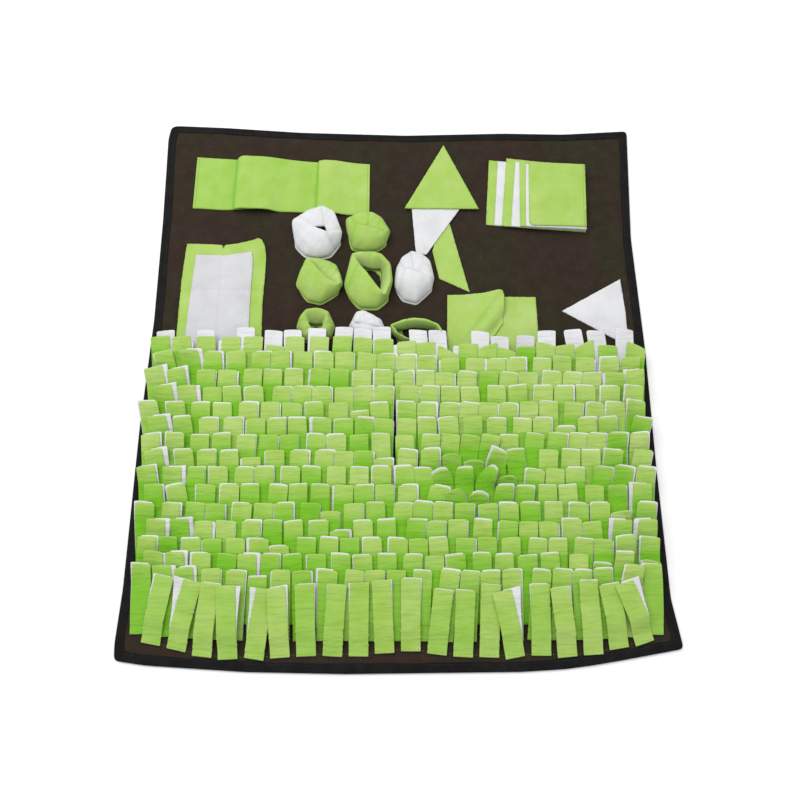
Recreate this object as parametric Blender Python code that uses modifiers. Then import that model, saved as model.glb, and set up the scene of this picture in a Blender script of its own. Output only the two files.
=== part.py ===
"""Snuffle mat: a flat cloth mat with rows of felt strips and sewn-on felt hiding places.

Units are metres. The origin is the centre of the mat's underside, +Z is up, and +Y runs from
the front edge, with the strip rows, to the back edge, with the hiding places.
"""

import math
import random

import bmesh
import bpy

# ---------------------------------------------------------------- driving dimensions

CLEAR = 0.0003              # gap left between pieces that touch
FELT = 0.0015               # one felt piece
BASE_THICK = 0.0030         # padded base cloth
SQUEEZED_THICK = 0.0012     # base where the binding pinches it
TAPE_THICK = 0.0010         # binding tape
TAPE_REACH = 0.0120         # how far the binding covers the base, seen from above
FELT_FLOOR = BASE_THICK + CLEAR         # underside of whatever is sewn on the base
LAYER_STEP = FELT + CLEAR               # rise from one flat felt layer to the next

ROW_COUNT = 16
ROW_PITCH = 0.0225          # between the seams of two rows
FIRST_SEAM_Y = -0.3830      # front edge of row 1
STRIP_WIDTH = 0.0240
STRIP_LENGTH = 0.0880       # from the front edge to the free end, seen from above
LENGTH_SPREAD = 0.0040      # strips are cut this much longer or shorter
LEAN_SPREAD = 0.0022        # free ends stray this far sideways
EDGE_SPLAY = 0.0080         # the outermost strips lean out this far
PAIR_THICK = 0.0030         # a green strip lying on a white one
SEAM_DEPTH = 0.0050         # flat sewn end of the strips
RISE_DEPTH = 0.0220         # steep part, where a strip climbs over the next row
RISE_SLOPE = 0.360
LEAN_SLOPE = 0.165          # shallow part, resting on the rows behind

LEFT_BOW = 0.0160           # the first seam bends back this far at the left edge
RIGHT_BOW = 0.0200          # and this far at the right edge
BOW_REACH = 0.3300          # where those bends are measured, from the middle
BOW_DECAY = 0.90            # each seam further back bends this much less
SEAM_SIDES = (-1.0, -0.65, 0.0, 0.65, 1.0)      # corners of a row's front edge

STRIP_ROWS = [
    # strips  left_x   right_x     odd rows, then even rows, half a strip to the left
    (20,     -0.3170,  0.3210),
    (21,     -0.3310,  0.3270),
]

# Plan of the mat, counter-clockwise. The four edges are as wavy as soft cloth lies.
MAT_PLAN = [
    # x       y
    (-0.3370, -0.3880),     # front edge
    (-0.3090, -0.3935),
    (-0.1860, -0.4012),
    (-0.0640, -0.4036),
    (0.2030, -0.3989),
    (0.2770, -0.3870),
    (0.3510, -0.3735),      # flared front right corner
    (0.3415, -0.3120),
    (0.3405, -0.1440),
    (0.3420, 0.0300),
    (0.3382, 0.2100),
    (0.3485, 0.3990),       # sharp back right corner
    (0.2500, 0.3930),
    (0.1600, 0.3948),
    (0.0100, 0.3910),
    (-0.1500, 0.3965),
    (-0.2600, 0.4050),
    (-0.3380, 0.4090),      # rounded back left corner
    (-0.3505, 0.3850),
    (-0.3455, 0.2400),
    (-0.3430, 0.0770),
    (-0.3471, -0.0880),
    (-0.3463, -0.3000),
    (-0.3500, -0.3630),     # rounded front left corner
]

CUPS = [
    # node           x        y       half_x  half_y  back    front   mouth
    ("cup_1_white", -0.1170,  0.2110, 0.0350, 0.0390, 0.0260, 0.0220, 0.44),
    ("cup_2_green", -0.0430,  0.2095, 0.0315, 0.0335, 0.0250, 0.0210, 0.40),
    ("cup_3_green", -0.1110,  0.1290, 0.0325, 0.0370, 0.0250, 0.0210, 0.42),
    ("cup_4_green", -0.0435,  0.1310, 0.0315, 0.0420, 0.0270, 0.0220, 0.56),
    ("cup_5_white",  0.0225,  0.1340, 0.0285, 0.0405, 0.0260, 0.0220, 0.44),
    ("cup_6_green", -0.1150,  0.0620, 0.0290, 0.0260, 0.0250, 0.0180, 0.52),
    ("cup_7_white", -0.0450,  0.0610, 0.0265, 0.0250, 0.0240, 0.0180, 0.50),
    ("cup_8_green",  0.0240,  0.0610, 0.0375, 0.0260, 0.0240, 0.0180, 0.60),
]
CUP_SIDES = 8
CUP_FOOT = 0.78             # foot size as a share of the widest ring
CUP_BELLY = 0.45            # height of the widest ring as a share of the front height

# Pleated band: flat cloth with two pleats. At each one it runs under, turns back at its hidden
# right end, turns again at the fold that shows, and humps up before it lands.
BAND_LEFT_X = -0.3030
BAND_RIGHT_X = -0.0430
BAND_TOP_Y = 0.3490         # at the left end
BAND_BOTTOM_Y = 0.2590
BAND_FALL = 0.045           # slant down to the right, as a share of the length
BAND_LAYER = 0.0030         # rise from layer to layer inside a pleat
TURN_STEPS = 3
PLEATS = [
    # hidden_x  fold_x   crown_x  crown_z  landing_x
    (-0.2140,  -0.2400, -0.2160,  0.0150, -0.1850),
    (-0.0930,  -0.1190, -0.0780,  0.0140, -0.0540),
]

# Book of pages, all sewn along their right edge.
PAGE_RIGHT_TOP = (0.2775, 0.3290)
PAGE_RIGHT_BOTTOM = (0.2720, 0.2150)
PAGES = [
    # node            top_x   top_y   bottom_x  bottom_y    of the free left edge
    ("page_1_green",  0.1360, 0.3440, 0.1280,   0.2310),
    ("page_2_white",  0.1490, 0.3410, 0.1400,   0.2290),
    ("page_3_green",  0.1620, 0.3450, 0.1510,   0.2270),
    ("page_4_white",  0.1750, 0.3370, 0.1640,   0.2250),
    ("page_5_green",  0.1810, 0.3390, 0.1770,   0.2240),
    ("page_6_white",  0.1900, 0.3310, 0.1850,   0.2230),
    ("page_7_green",  0.1940, 0.3340, 0.1900,   0.2220),
]

# Flat felt pieces: corners of each, with the felt layers that lie under that corner. A part
# layer is slack, so that a slanted piece clears the edge of the one under it.
FLAT_PIECES = {
    "pocket_back_green": [
        # x       y       layers
        (-0.3060, 0.1990, 0), (-0.3090, 0.1350, 0), (-0.3080, 0.0060, 0), (-0.1900, 0.0060, 0),
        (-0.1920, 0.1040, 0), (-0.1920, 0.1900, 0), (-0.1960, 0.2010, 0), (-0.2050, 0.2060, 0),
        (-0.2520, 0.1950, 0)],
    "pocket_front_white": [
        (-0.2910, 0.1790, 1), (-0.2930, 0.1240, 1), (-0.2940, 0.0140, 1), (-0.2070, 0.0140, 1),
        (-0.2090, 0.1190, 1), (-0.2080, 0.1650, 1), (-0.2110, 0.1840, 1), (-0.2510, 0.1775, 1)],
    "triangle_lower_green": [
        (0.0680, 0.2620, 0), (0.0490, 0.1870, 0), (0.0580, 0.1420, 0), (0.1010, 0.1200, 0)],
    "triangle_middle_white": [
        (0.0190, 0.2650, 1), (0.0250, 0.1830, 1), (0.0400, 0.1800, 1), (0.0950, 0.2650, 1)],
    "triangle_upper_green": [
        (0.0680, 0.3700, 0), (0.0090, 0.2570, 2.2), (0.1180, 0.2560, 2.2)],
    "triangle_right_white": [
        (0.2300, 0.0900, 0), (0.3220, 0.0280, 0), (0.3190, 0.0900, 0), (0.3160, 0.1410, 0)],
    "cross_pocket_right_green": [
        (0.1940, 0.1120, 0), (0.1490, 0.1120, 0), (0.1480, 0.1180, 0), (0.1180, 0.1130, 0),
        (0.0900, 0.0250, 0), (0.1960, 0.0250, 0)],
    "cross_pocket_left_green": [
        (0.0690, 0.1140, 1), (0.0670, 0.0250, 1), (0.0860, 0.0250, 1), (0.1410, 0.1130, 1),
        (0.1410, 0.1220, 1)],
}

GREEN = (0.330, 0.610, 0.070, 1.0)
WHITE = (0.760, 0.760, 0.800, 1.0)
BROWN = (0.045, 0.030, 0.022, 1.0)
BLACK = (0.012, 0.012, 0.014, 1.0)
CLOTH_ROUGHNESS = 0.95


# ---------------------------------------------------------------- objects and materials

def cloth_material(name, colour):
    """A matt cloth of one colour."""
    material = bpy.data.materials.new(name)
    material.use_nodes = True
    shader = material.node_tree.nodes["Principled BSDF"]
    shader.inputs["Base Color"].default_value = colour
    shader.inputs["Roughness"].default_value = CLOTH_ROUGHNESS
    shader.inputs["Metallic"].default_value = 0.0
    material.diffuse_color = colour
    return material


def add_piece(name, builder, colour, collection):
    """Turn a bmesh into a named object with a material of its own."""
    bmesh.ops.recalc_face_normals(builder, faces=builder.faces)
    mesh = bpy.data.meshes.new(name)
    builder.to_mesh(mesh)
    builder.free()
    mesh.materials.append(cloth_material(name + "_cloth", colour))
    piece = bpy.data.objects.new(name, mesh)
    collection.objects.link(piece)
    return piece


def thicken(piece, thickness, offset=None):
    """Give an open surface its thickness, grown upwards from its first face."""
    if offset is None:
        offset = 1.0 if piece.data.polygons[0].normal.z > 0 else -1.0
    solid = piece.modifiers.new("Cloth thickness", "SOLIDIFY")
    solid.thickness = thickness
    solid.offset = offset
    solid.use_even_offset = True


def felt_colour(name):
    """The felt colour that a node's name ends with."""
    return WHITE if name.endswith("white") else GREEN


# ---------------------------------------------------------------- lofts

def bridge(builder, first, second):
    """Quads between two closed rings of vertices."""
    count = len(first)
    for index in range(count):
        after = (index + 1) % count
        builder.faces.new((first[index], first[after], second[after], second[index]))


def loft(builder, rings, hoop):
    """Skin over a stack of rings: a hoop joins its last ring to its first, else both are capped."""
    loops = [[builder.verts.new(point) for point in ring] for ring in rings]
    for first, second in zip(loops, loops[1:]):
        bridge(builder, first, second)
    if hoop:
        bridge(builder, loops[-1], loops[0])
    else:
        builder.faces.new(loops[0])
        builder.faces.new(loops[-1])


def inset_plan(plan, inset):
    """A counter-clockwise plan moved inwards, its corners mitred."""
    moved = []
    for index, (x, y) in enumerate(plan):
        before = plan[index - 1]
        after = plan[(index + 1) % len(plan)]
        angle_in = math.atan2(y - before[1], x - before[0])
        angle_out = math.atan2(after[1] - y, after[0] - x)
        half_bend = math.remainder(angle_out - angle_in, math.tau) / 2
        inward = angle_in + half_bend + math.pi / 2
        reach = inset / math.cos(half_bend)
        moved.append((x + reach * math.cos(inward), y + reach * math.sin(inward)))
    return moved


def level_ring(inset, z):
    """The mat's outline at one height."""
    return [(x, y, z) for x, y in inset_plan(MAT_PLAN, inset)]


# ---------------------------------------------------------------- base and binding

def build_base(collection):
    """Padded base, pinched to a thin tongue all round, where the binding grips it."""
    under_tongue = TAPE_THICK + CLEAR
    over_tongue = under_tongue + SQUEEZED_THICK
    body_edge = TAPE_REACH + CLEAR
    tongue_edge = TAPE_THICK + CLEAR
    rings = [
        level_ring(body_edge, 0.0),
        level_ring(body_edge, under_tongue),
        level_ring(tongue_edge, under_tongue),
        level_ring(tongue_edge, over_tongue),
        level_ring(body_edge, over_tongue),
        level_ring(body_edge, BASE_THICK),
    ]
    builder = bmesh.new()
    loft(builder, rings, hoop=False)
    add_piece("base", builder, BROWN, collection)


def build_binding(collection):
    """Tape folded round the edge of the base: two legs and the fold between them."""
    upper_leg = TAPE_THICK + CLEAR + SQUEEZED_THICK + CLEAR
    section = [
        # inset      z
        (0.0,        0.0),
        (TAPE_REACH, 0.0),
        (TAPE_REACH, TAPE_THICK),
        (TAPE_THICK, TAPE_THICK),
        (TAPE_THICK, upper_leg),
        (TAPE_REACH, upper_leg),
        (TAPE_REACH, upper_leg + TAPE_THICK),
        (0.0,        upper_leg + TAPE_THICK),
    ]
    rings = [level_ring(inset, z) for inset, z in section]
    builder = bmesh.new()
    loft(builder, rings, hoop=True)
    add_piece("edge_binding", builder, BLACK, collection)


# ---------------------------------------------------------------- strip rows

def strip_rise(depth):
    """Height of a strip above its seam, at a distance behind the front edge."""
    steep = min(max(depth - SEAM_DEPTH, 0.0), RISE_DEPTH)
    shallow = max(depth - SEAM_DEPTH - RISE_DEPTH, 0.0)
    return steep * RISE_SLOPE + shallow * LEAN_SLOPE


def seam_y(number, x):
    """Front edge of a row: nearly straight, bent back towards both sides of the mat."""
    bow = RIGHT_BOW if x > 0 else LEFT_BOW
    bend = bow * abs(x / BOW_REACH) ** 3 * BOW_DECAY ** (number - 1)
    return FIRST_SEAM_Y + ROW_PITCH * (number - 1) + bend


def build_strip_row(number, chance, collection):
    """One row of strip pairs as a comb: a flat sewn end and a tooth for each pair."""
    count, left_x, right_x = STRIP_ROWS[(number - 1) % 2]
    pitch = (right_x - left_x - STRIP_WIDTH) / (count - 1)
    builder = bmesh.new()

    def corner(x, depth):
        return builder.verts.new((x, seam_y(number, x) + depth, FELT_FLOOR + strip_rise(depth)))

    roots = []
    for index in range(count):
        side = 2 * index / (count - 1) - 1
        lean = EDGE_SPLAY * side ** 7 + chance.uniform(-LEAN_SPREAD, LEAN_SPREAD)
        length = STRIP_LENGTH + chance.uniform(-LENGTH_SPREAD, LENGTH_SPREAD)
        left = left_x + index * pitch
        right = left + STRIP_WIDTH
        sections = []
        for depth in (SEAM_DEPTH, SEAM_DEPTH + RISE_DEPTH, length):
            shift = lean * (depth - SEAM_DEPTH) / (length - SEAM_DEPTH)
            sections.append((corner(left + shift, depth), corner(right + shift, depth)))
        for (near_left, near_right), (far_left, far_right) in zip(sections, sections[1:]):
            builder.faces.new((near_left, near_right, far_right, far_left))
        roots += sections[0]
    middle_x = (left_x + right_x) / 2
    half_row = (right_x - left_x) / 2
    front = [corner(middle_x + half_row * side, 0.0) for side in SEAM_SIDES]
    builder.faces.new(front + roots[::-1])

    row = add_piece("strip_row_{:02d}".format(number), builder, GREEN, collection)
    thicken(row, PAIR_THICK)


# ---------------------------------------------------------------- hiding places

def build_cup(name, x, y, half_x, half_y, back, front, mouth, collection):
    """Open felt cup: flat foot, belly and a drawn-in mouth, higher at the back."""
    belly_z = FELT_FLOOR + front * CUP_BELLY
    rings = [[], [], []]
    for index in range(CUP_SIDES):
        angle = math.tau * index / CUP_SIDES
        along_x = half_x * math.cos(angle)
        along_y = half_y * math.sin(angle)
        rim_z = FELT_FLOOR + front + (back - front) * (1 + math.sin(angle)) / 2
        rings[0].append((x + CUP_FOOT * along_x, y + CUP_FOOT * along_y, FELT_FLOOR))
        rings[1].append((x + along_x, y + along_y, belly_z))
        rings[2].append((x + mouth * along_x, y + mouth * along_y, rim_z))
    builder = bmesh.new()
    foot, belly, rim = [[builder.verts.new(point) for point in ring] for ring in rings]
    builder.faces.new(foot)
    bridge(builder, foot, belly)
    bridge(builder, belly, rim)
    cup = add_piece(name, builder, felt_colour(name), collection)
    thicken(cup, FELT)


def half_turn(x, low_z, side):
    """Points of a fold that turns the cloth back on itself, one layer higher."""
    radius = BAND_LAYER / 2
    points = []
    for step in range(TURN_STEPS + 1):
        angle = math.pi * step / TURN_STEPS
        points.append((x + side * radius * math.sin(angle), low_z + radius * (1 - math.cos(angle))))
    return points


def band_section():
    """Middle line of the pleated band, seen along the Y axis."""
    low = FELT_FLOOR + FELT / 2
    line = [(BAND_LEFT_X, low)]
    for hidden_x, fold_x, crown_x, crown_z, landing_x in PLEATS:
        line += half_turn(hidden_x, low, side=1)
        line += half_turn(fold_x, low + BAND_LAYER, side=-1)
        line.append(((fold_x + crown_x) / 2, (low + 2 * BAND_LAYER + 2 * crown_z) / 3))
        line.append((crown_x, crown_z))
        line.append(((crown_x + landing_x) / 2, (low + 2 * crown_z) / 3))
        line.append((landing_x, low))
    line.append((BAND_RIGHT_X, low))
    return line


def build_band(collection):
    """Pleated band, one strip of felt."""
    builder = bmesh.new()
    pairs = []
    for x, z in band_section():
        fall = BAND_FALL * (x - BAND_LEFT_X)
        top = builder.verts.new((x, BAND_TOP_Y - fall, z))
        bottom = builder.verts.new((x, BAND_BOTTOM_Y - fall, z))
        pairs.append((top, bottom))
    for (top, bottom), (next_top, next_bottom) in zip(pairs, pairs[1:]):
        builder.faces.new((top, bottom, next_bottom, next_top))
    band = add_piece("pleated_band_green", builder, GREEN, collection)
    thicken(band, FELT, offset=0.0)


def build_flat_piece(name, corners, collection):
    """Flat felt piece, lifted at each corner by the layers under it."""
    builder = bmesh.new()
    outline = [builder.verts.new((x, y, FELT_FLOOR + layers * LAYER_STEP))
               for x, y, layers in corners]
    builder.faces.new(outline)
    piece = add_piece(name, builder, felt_colour(name), collection)
    thicken(piece, FELT)


def build_pages(collection):
    """Book of felt pages, each lying on the one before."""
    for layers, (name, top_x, top_y, bottom_x, bottom_y) in enumerate(PAGES):
        corners = [(top_x, top_y), (bottom_x, bottom_y), PAGE_RIGHT_BOTTOM, PAGE_RIGHT_TOP]
        build_flat_piece(name, [(x, y, layers) for x, y in corners], collection)


# ---------------------------------------------------------------- the whole mat

def build_mat():
    """Clear the scene and build every piece in the mat's collection."""
    for old in list(bpy.data.objects):
        bpy.data.objects.remove(old, do_unlink=True)
    mat = bpy.data.collections.new("Snuffle mat")
    bpy.context.scene.collection.children.link(mat)
    chance = random.Random(16)

    build_base(mat)
    build_binding(mat)
    for number in range(1, ROW_COUNT + 1):
        build_strip_row(number, chance, mat)
    build_band(mat)
    for cup in CUPS:
        build_cup(*cup, mat)
    build_pages(mat)
    for name, corners in FLAT_PIECES.items():
        build_flat_piece(name, corners, mat)


build_mat()
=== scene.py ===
"""Snuffle mat in felt: the looks of a flat foraging mat for a dog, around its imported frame.

Units are metres. The mat lies on the floor, +Z is up, +Y runs from the strip rows at the front
to the hiding places at the back.
"""

import math
import random

import bmesh
import bpy
import numpy as np
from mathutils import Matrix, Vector


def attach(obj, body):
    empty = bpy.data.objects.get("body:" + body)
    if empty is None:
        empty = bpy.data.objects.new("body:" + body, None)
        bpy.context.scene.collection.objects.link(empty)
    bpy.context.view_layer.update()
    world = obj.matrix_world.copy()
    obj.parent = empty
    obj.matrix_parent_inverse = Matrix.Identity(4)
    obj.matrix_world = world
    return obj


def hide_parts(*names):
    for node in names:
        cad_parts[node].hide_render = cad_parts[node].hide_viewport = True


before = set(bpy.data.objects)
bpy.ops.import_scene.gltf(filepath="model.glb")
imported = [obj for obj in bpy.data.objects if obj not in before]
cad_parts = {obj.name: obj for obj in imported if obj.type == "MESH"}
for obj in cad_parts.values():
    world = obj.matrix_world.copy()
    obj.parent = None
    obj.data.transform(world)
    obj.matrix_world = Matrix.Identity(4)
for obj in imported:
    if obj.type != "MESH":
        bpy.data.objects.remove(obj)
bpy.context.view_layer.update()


# ---------------------------------------------------------------- camera, floor and light
# A white studio floor under a bright even sky, with one big soft light over the back left
# corner of the mat. The camera stands in front of the mat and looks steeply down.

LOOK_AT = Vector((0.0022, -0.0430, 0.0))
CAMERA_DISTANCE = 1.31
CAMERA_TILT = math.radians(22)          # away from straight down
LENS_MM = 43.38
SENSOR_MM = 36.0


def put(name, data):
    """A new object in the scene, made of a camera, a lamp or a mesh."""
    thing = bpy.data.objects.new(name, data)
    bpy.context.scene.collection.objects.link(thing)
    return thing


camera = put("camera", bpy.data.cameras.new("camera"))
camera.location = LOOK_AT + CAMERA_DISTANCE * Vector(
    (0.0, -math.sin(CAMERA_TILT), math.cos(CAMERA_TILT)))
camera.rotation_euler = (CAMERA_TILT, 0.0, 0.0)
camera.data.lens = LENS_MM
camera.data.sensor_width = SENSOR_MM
bpy.context.scene.camera = camera

FLOOR_SIDE = 12.0
FLOOR_SQUARES = 4
FLOOR_Z = -0.0004
FLOOR_LIGHTNESS = 0.93
FLOOR_ROUGHNESS = 0.9


def grey(lightness):
    """An even grey, which is white at 1; in a pattern it dims or lifts the cloth's colour."""
    return (lightness, lightness, lightness, 1.0)


builder = bmesh.new()
bmesh.ops.create_grid(builder, x_segments=FLOOR_SQUARES, y_segments=FLOOR_SQUARES,
                      size=FLOOR_SIDE / 2)
floor_mesh = bpy.data.meshes.new("floor")
builder.to_mesh(floor_mesh)
builder.free()
floor = put("floor", floor_mesh)
floor.location.z = FLOOR_Z
floor_paint = bpy.data.materials.new("floor_paint")
floor_paint.use_nodes = True
floor_shader = floor_paint.node_tree.nodes["Principled BSDF"]
floor_shader.inputs["Base Color"].default_value = grey(FLOOR_LIGHTNESS)
floor_shader.inputs["Roughness"].default_value = FLOOR_ROUGHNESS
floor_mesh.materials.append(floor_paint)

SKY_STRENGTH = 0.72
sky = bpy.data.worlds.new("studio_sky")
sky.use_nodes = True
background = sky.node_tree.nodes["Background"]
background.inputs["Color"].default_value = grey(1.0)
background.inputs["Strength"].default_value = SKY_STRENGTH
bpy.context.scene.world = sky
bpy.context.scene.view_settings.view_transform = "Standard"

SOFTBOX_PLACE = Vector((-0.7, 0.8, 2.5))
SOFTBOX_SIDE = 2.2
SOFTBOX_WATTS = 50.0
softbox = put("softbox", bpy.data.lights.new("softbox", "AREA"))
softbox.data.size = SOFTBOX_SIDE
softbox.data.energy = SOFTBOX_WATTS
softbox.location = SOFTBOX_PLACE
softbox.rotation_euler = (-SOFTBOX_PLACE).to_track_quat("-Z", "Y").to_euler()


# ---------------------------------------------------------------- base cloth
# The base is a brushed brown cloth over a thin padding, cut with slightly wavy sides. It
# lies flat, with a few soft creases from being folded in its pack, and thins to a tongue
# where the edge binding grips it.

BASE_THICK = 0.0030
TONGUE_LOW = 0.0013
TONGUE_HIGH = 0.0025
BINDING_REACH = 0.0120
CUT_INSET = 0.0013          # cut edge of the base, inside the fold of the binding
BASE_CELL = 0.0050
BASE_SWELL = 0.00030        # height of its soft waves
GRIP_REACH = BINDING_REACH - 0.0002     # up to here the binding grips the tongue
UNDER_SWELL = 0.0040        # beyond its reach the base swells to full thickness over this, below
TOP_SWELL = 0.0050          # and over this above
CREASE_WANDER = 0.0020      # the creases aren't straight
CREASE_WAVE = 14            # radians for each metre along them
PACK_CREASES = [
    # axis  place    depth    half_width
    (0,    -0.0060,  0.00045, 0.0030),
    (1,     0.1480,  0.00040, 0.0035),
    (0,     0.1780,  0.00035, 0.0030),
    (1,    -0.1300,  0.00035, 0.0035),
]

MAT_PLAN = [
    # x       y
    (-0.3480, -0.3878),     # front left corner
    (-0.3090, -0.3935),
    (-0.1860, -0.4012),
    (-0.0640, -0.4036),
    (0.1500, -0.4010),
    (0.2030, -0.3978),
    (0.2400, -0.3930),
    (0.2770, -0.3868),
    (0.3510, -0.3735),      # flared front right corner
    (0.3415, -0.3120),
    (0.3405, -0.1440),
    (0.3420, 0.0300),
    (0.3382, 0.2100),
    (0.3485, 0.3990),       # back right corner
    (0.2500, 0.3930),
    (0.1600, 0.3948),
    (0.0100, 0.3910),
    (-0.1500, 0.3965),
    (-0.2600, 0.4050),
    (-0.3400, 0.4090),
    (-0.3480, 0.4060),      # back left corner
    (-0.3505, 0.3850),
    (-0.3455, 0.2400),
    (-0.3430, 0.0770),
    (-0.3471, -0.0880),
    (-0.3463, -0.3000),
    (-0.3495, -0.3680),
]
PLAN_STEP = 0.0030
PLAN_SOFTENING = 4          # passes that round the plan's corners


def inset_plan(inset):
    """The mat's plan moved inwards, with mitred corners."""
    moved = []
    for index, (x, y) in enumerate(MAT_PLAN):
        before = MAT_PLAN[index - 1]
        after = MAT_PLAN[(index + 1) % len(MAT_PLAN)]
        angle_in = math.atan2(y - before[1], x - before[0])
        angle_out = math.atan2(after[1] - y, after[0] - x)
        half_bend = math.remainder(angle_out - angle_in, math.tau) / 2
        inward = angle_in + half_bend + math.pi / 2
        reach = inset / math.cos(half_bend)
        moved.append((x + reach * math.cos(inward), y + reach * math.sin(inward)))
    return moved


def soft_plan(inset):
    """Closely spaced points round the mat at one inset, corners rounded as cloth turns."""
    plan = inset_plan(inset)
    points = []
    for index, start in enumerate(MAT_PLAN):
        end = MAT_PLAN[(index + 1) % len(MAT_PLAN)]
        steps = max(2, round(math.dist(start, end) / PLAN_STEP))
        first = np.array(plan[index])
        last = np.array(plan[(index + 1) % len(plan)])
        points += [first + (last - first) * step / steps for step in range(steps)]
    points = np.array(points)
    for _ in range(PLAN_SOFTENING):
        points = (np.roll(points, 1, axis=0) + 2 * points + np.roll(points, -1, axis=0)) / 4
    return points


class Ripple:
    """Smooth seeded waves over the plane, between about -1 and 1."""

    def __init__(self, seed, wavelength, count=6):
        chance = random.Random(seed)
        self.waves = []
        for _ in range(count):
            heading = chance.uniform(0.0, math.tau)
            wave = math.tau / (wavelength * chance.uniform(0.6, 1.6))
            self.waves.append((wave * math.cos(heading), wave * math.sin(heading),
                               chance.uniform(0.0, math.tau)))

    def __call__(self, x, y):
        total = sum(np.sin(along * x + across * y + phase)
                    for along, across, phase in self.waves)
        return total / math.sqrt(2 * len(self.waves))


def mesh_piece(name, verts, faces, smooth, material):
    """A piece of mesh in the scene, made of one cloth or thread."""
    mesh = bpy.data.meshes.new(name)
    mesh.from_pydata(verts, [], faces)
    mesh.polygons.foreach_set("use_smooth", smooth)
    mesh.materials.append(material)
    mesh.update()
    return put(name, mesh)


def shifted(faces, count):
    """The same faces, with their points counted from a later one."""
    return [tuple(index + count for index in face) for face in faces]


MERGE_SHARE = 0.04          # points nearer than this share of a cell become one
ON_PLANE = 1e-7


def cloth_piece(name, outline, underside, topside, cell, material):
    """Closed cloth cut to an outline and gridded finely; the two heights are functions."""
    builder = bmesh.new()
    builder.faces.new([builder.verts.new((x, y, 0.0)) for x, y in outline])
    spread = np.array(outline)
    for axis in (0, 1):
        normal = [0.0, 0.0, 0.0]
        normal[axis] = 1.0
        low = spread[:, axis].min()
        high = spread[:, axis].max()
        for step in range(1, math.ceil((high - low) / cell)):
            place = [0.0, 0.0, 0.0]
            place[axis] = low + step * cell
            bmesh.ops.bisect_plane(
                builder, geom=builder.verts[:] + builder.edges[:] + builder.faces[:],
                plane_co=place, plane_no=normal, dist=ON_PLANE)
    bmesh.ops.remove_doubles(builder, verts=builder.verts[:], dist=cell * MERGE_SHARE)
    bmesh.ops.recalc_face_normals(builder, faces=builder.faces[:])
    if sum(face.normal.z for face in builder.faces) < 0:
        bmesh.ops.reverse_faces(builder, faces=builder.faces[:])
    builder.verts.index_update()
    plan = np.array([vert.co[:2] for vert in builder.verts])
    faces = [tuple(vert.index for vert in face.verts) for face in builder.faces]
    rim = [(loop.vert.index, loop.link_loop_next.vert.index)
           for face in builder.faces for loop in face.loops if loop.edge.is_boundary]
    builder.free()
    count = len(plan)
    low_z = underside(plan[:, 0], plan[:, 1])
    high_z = topside(plan[:, 0], plan[:, 1])
    verts = np.vstack((np.column_stack((plan, high_z)), np.column_stack((plan, low_z))))
    under = shifted([face[::-1] for face in faces], count)
    sides = [(second, first, first + count, second + count) for first, second in rim]
    smooth = [True] * (2 * len(faces)) + [False] * len(sides)
    return mesh_piece(name, verts.tolist(), faces + under + sides, smooth, material)


def stand_for(piece, node):
    """Hang a cloth piece from the root in its CAD node's place, and hide the node."""
    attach(piece, "root")
    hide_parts(node)


class ClothNodes:
    """Builds the node tree of a cloth: patterns for its colour and for its bump."""

    def __init__(self, name):
        self.material = bpy.data.materials.new(name)
        self.material.use_nodes = True
        self.tree = self.material.node_tree
        self.shader = self.tree.nodes["Principled BSDF"]
        self.place = self.add("ShaderNodeTexCoord").outputs["Object"]

    def add(self, kind, **settings):
        node = self.tree.nodes.new(kind)
        for setting, value in settings.items():
            setattr(node, setting, value)
        return node

    def link(self, output, socket):
        self.tree.links.new(output, socket)

    def cells(self, scale, stretch=(1.0, 1.0, 1.0), detail=3.0, roughness=0.55, kind="noise"):
        """A noise pattern in object space, cells per metre, squeezed along each axis."""
        mapping = self.add("ShaderNodeMapping")
        mapping.inputs["Scale"].default_value = stretch
        self.link(self.place, mapping.inputs["Vector"])
        if kind == "noise":
            noise = self.add("ShaderNodeTexNoise")
            noise.inputs["Detail"].default_value = detail
            noise.inputs["Roughness"].default_value = roughness
        else:
            noise = self.add("ShaderNodeTexVoronoi")
        noise.inputs["Scale"].default_value = scale
        self.link(mapping.outputs["Vector"], noise.inputs["Vector"])
        return noise.outputs["Fac" if kind == "noise" else "Distance"]

    def ramp(self, source, *stops):
        """Colours by position along a pattern."""
        node = self.add("ShaderNodeValToRGB")
        elements = node.color_ramp.elements
        while len(elements) < len(stops):
            elements.new(0.5)
        for element, (position, colour) in zip(elements, stops):
            element.position = position
            element.color = colour
        self.link(source, node.inputs["Fac"])
        return node.outputs["Color"]

    def mix(self, share, first, second, blend="MIX"):
        """Mix two colours or patterns; a number or a socket may be the share."""
        node = self.add("ShaderNodeMix", data_type="RGBA", blend_type=blend)
        for socket, value in ((node.inputs[0], share), (node.inputs[6], first),
                              (node.inputs[7], second)):
            if isinstance(value, bpy.types.NodeSocket):
                self.link(value, socket)
            else:
                socket.default_value = value
        return node.outputs[2]

    def finish(self, colour, roughness, specular=0.5, sheen=0.0, sheen_roughness=0.5):
        """The cloth's colour pattern, and how the whole of it takes the light."""
        self.link(colour, self.shader.inputs["Base Color"])
        for socket, value in (("Roughness", roughness), ("Specular IOR Level", specular),
                              ("Sheen Weight", sheen), ("Sheen Roughness", sheen_roughness)):
            self.shader.inputs[socket].default_value = value

    def bump(self, layers):
        """Stack of bumps: each is a pattern, its strength and its height."""
        before = None
        for pattern, strength, height in layers:
            node = self.add("ShaderNodeBump")
            node.inputs["Strength"].default_value = strength
            node.inputs["Distance"].default_value = height
            self.link(pattern, node.inputs["Height"])
            if before is not None:
                self.link(before, node.inputs["Normal"])
            before = node.outputs["Normal"]
        self.link(before, self.shader.inputs["Normal"])


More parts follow.
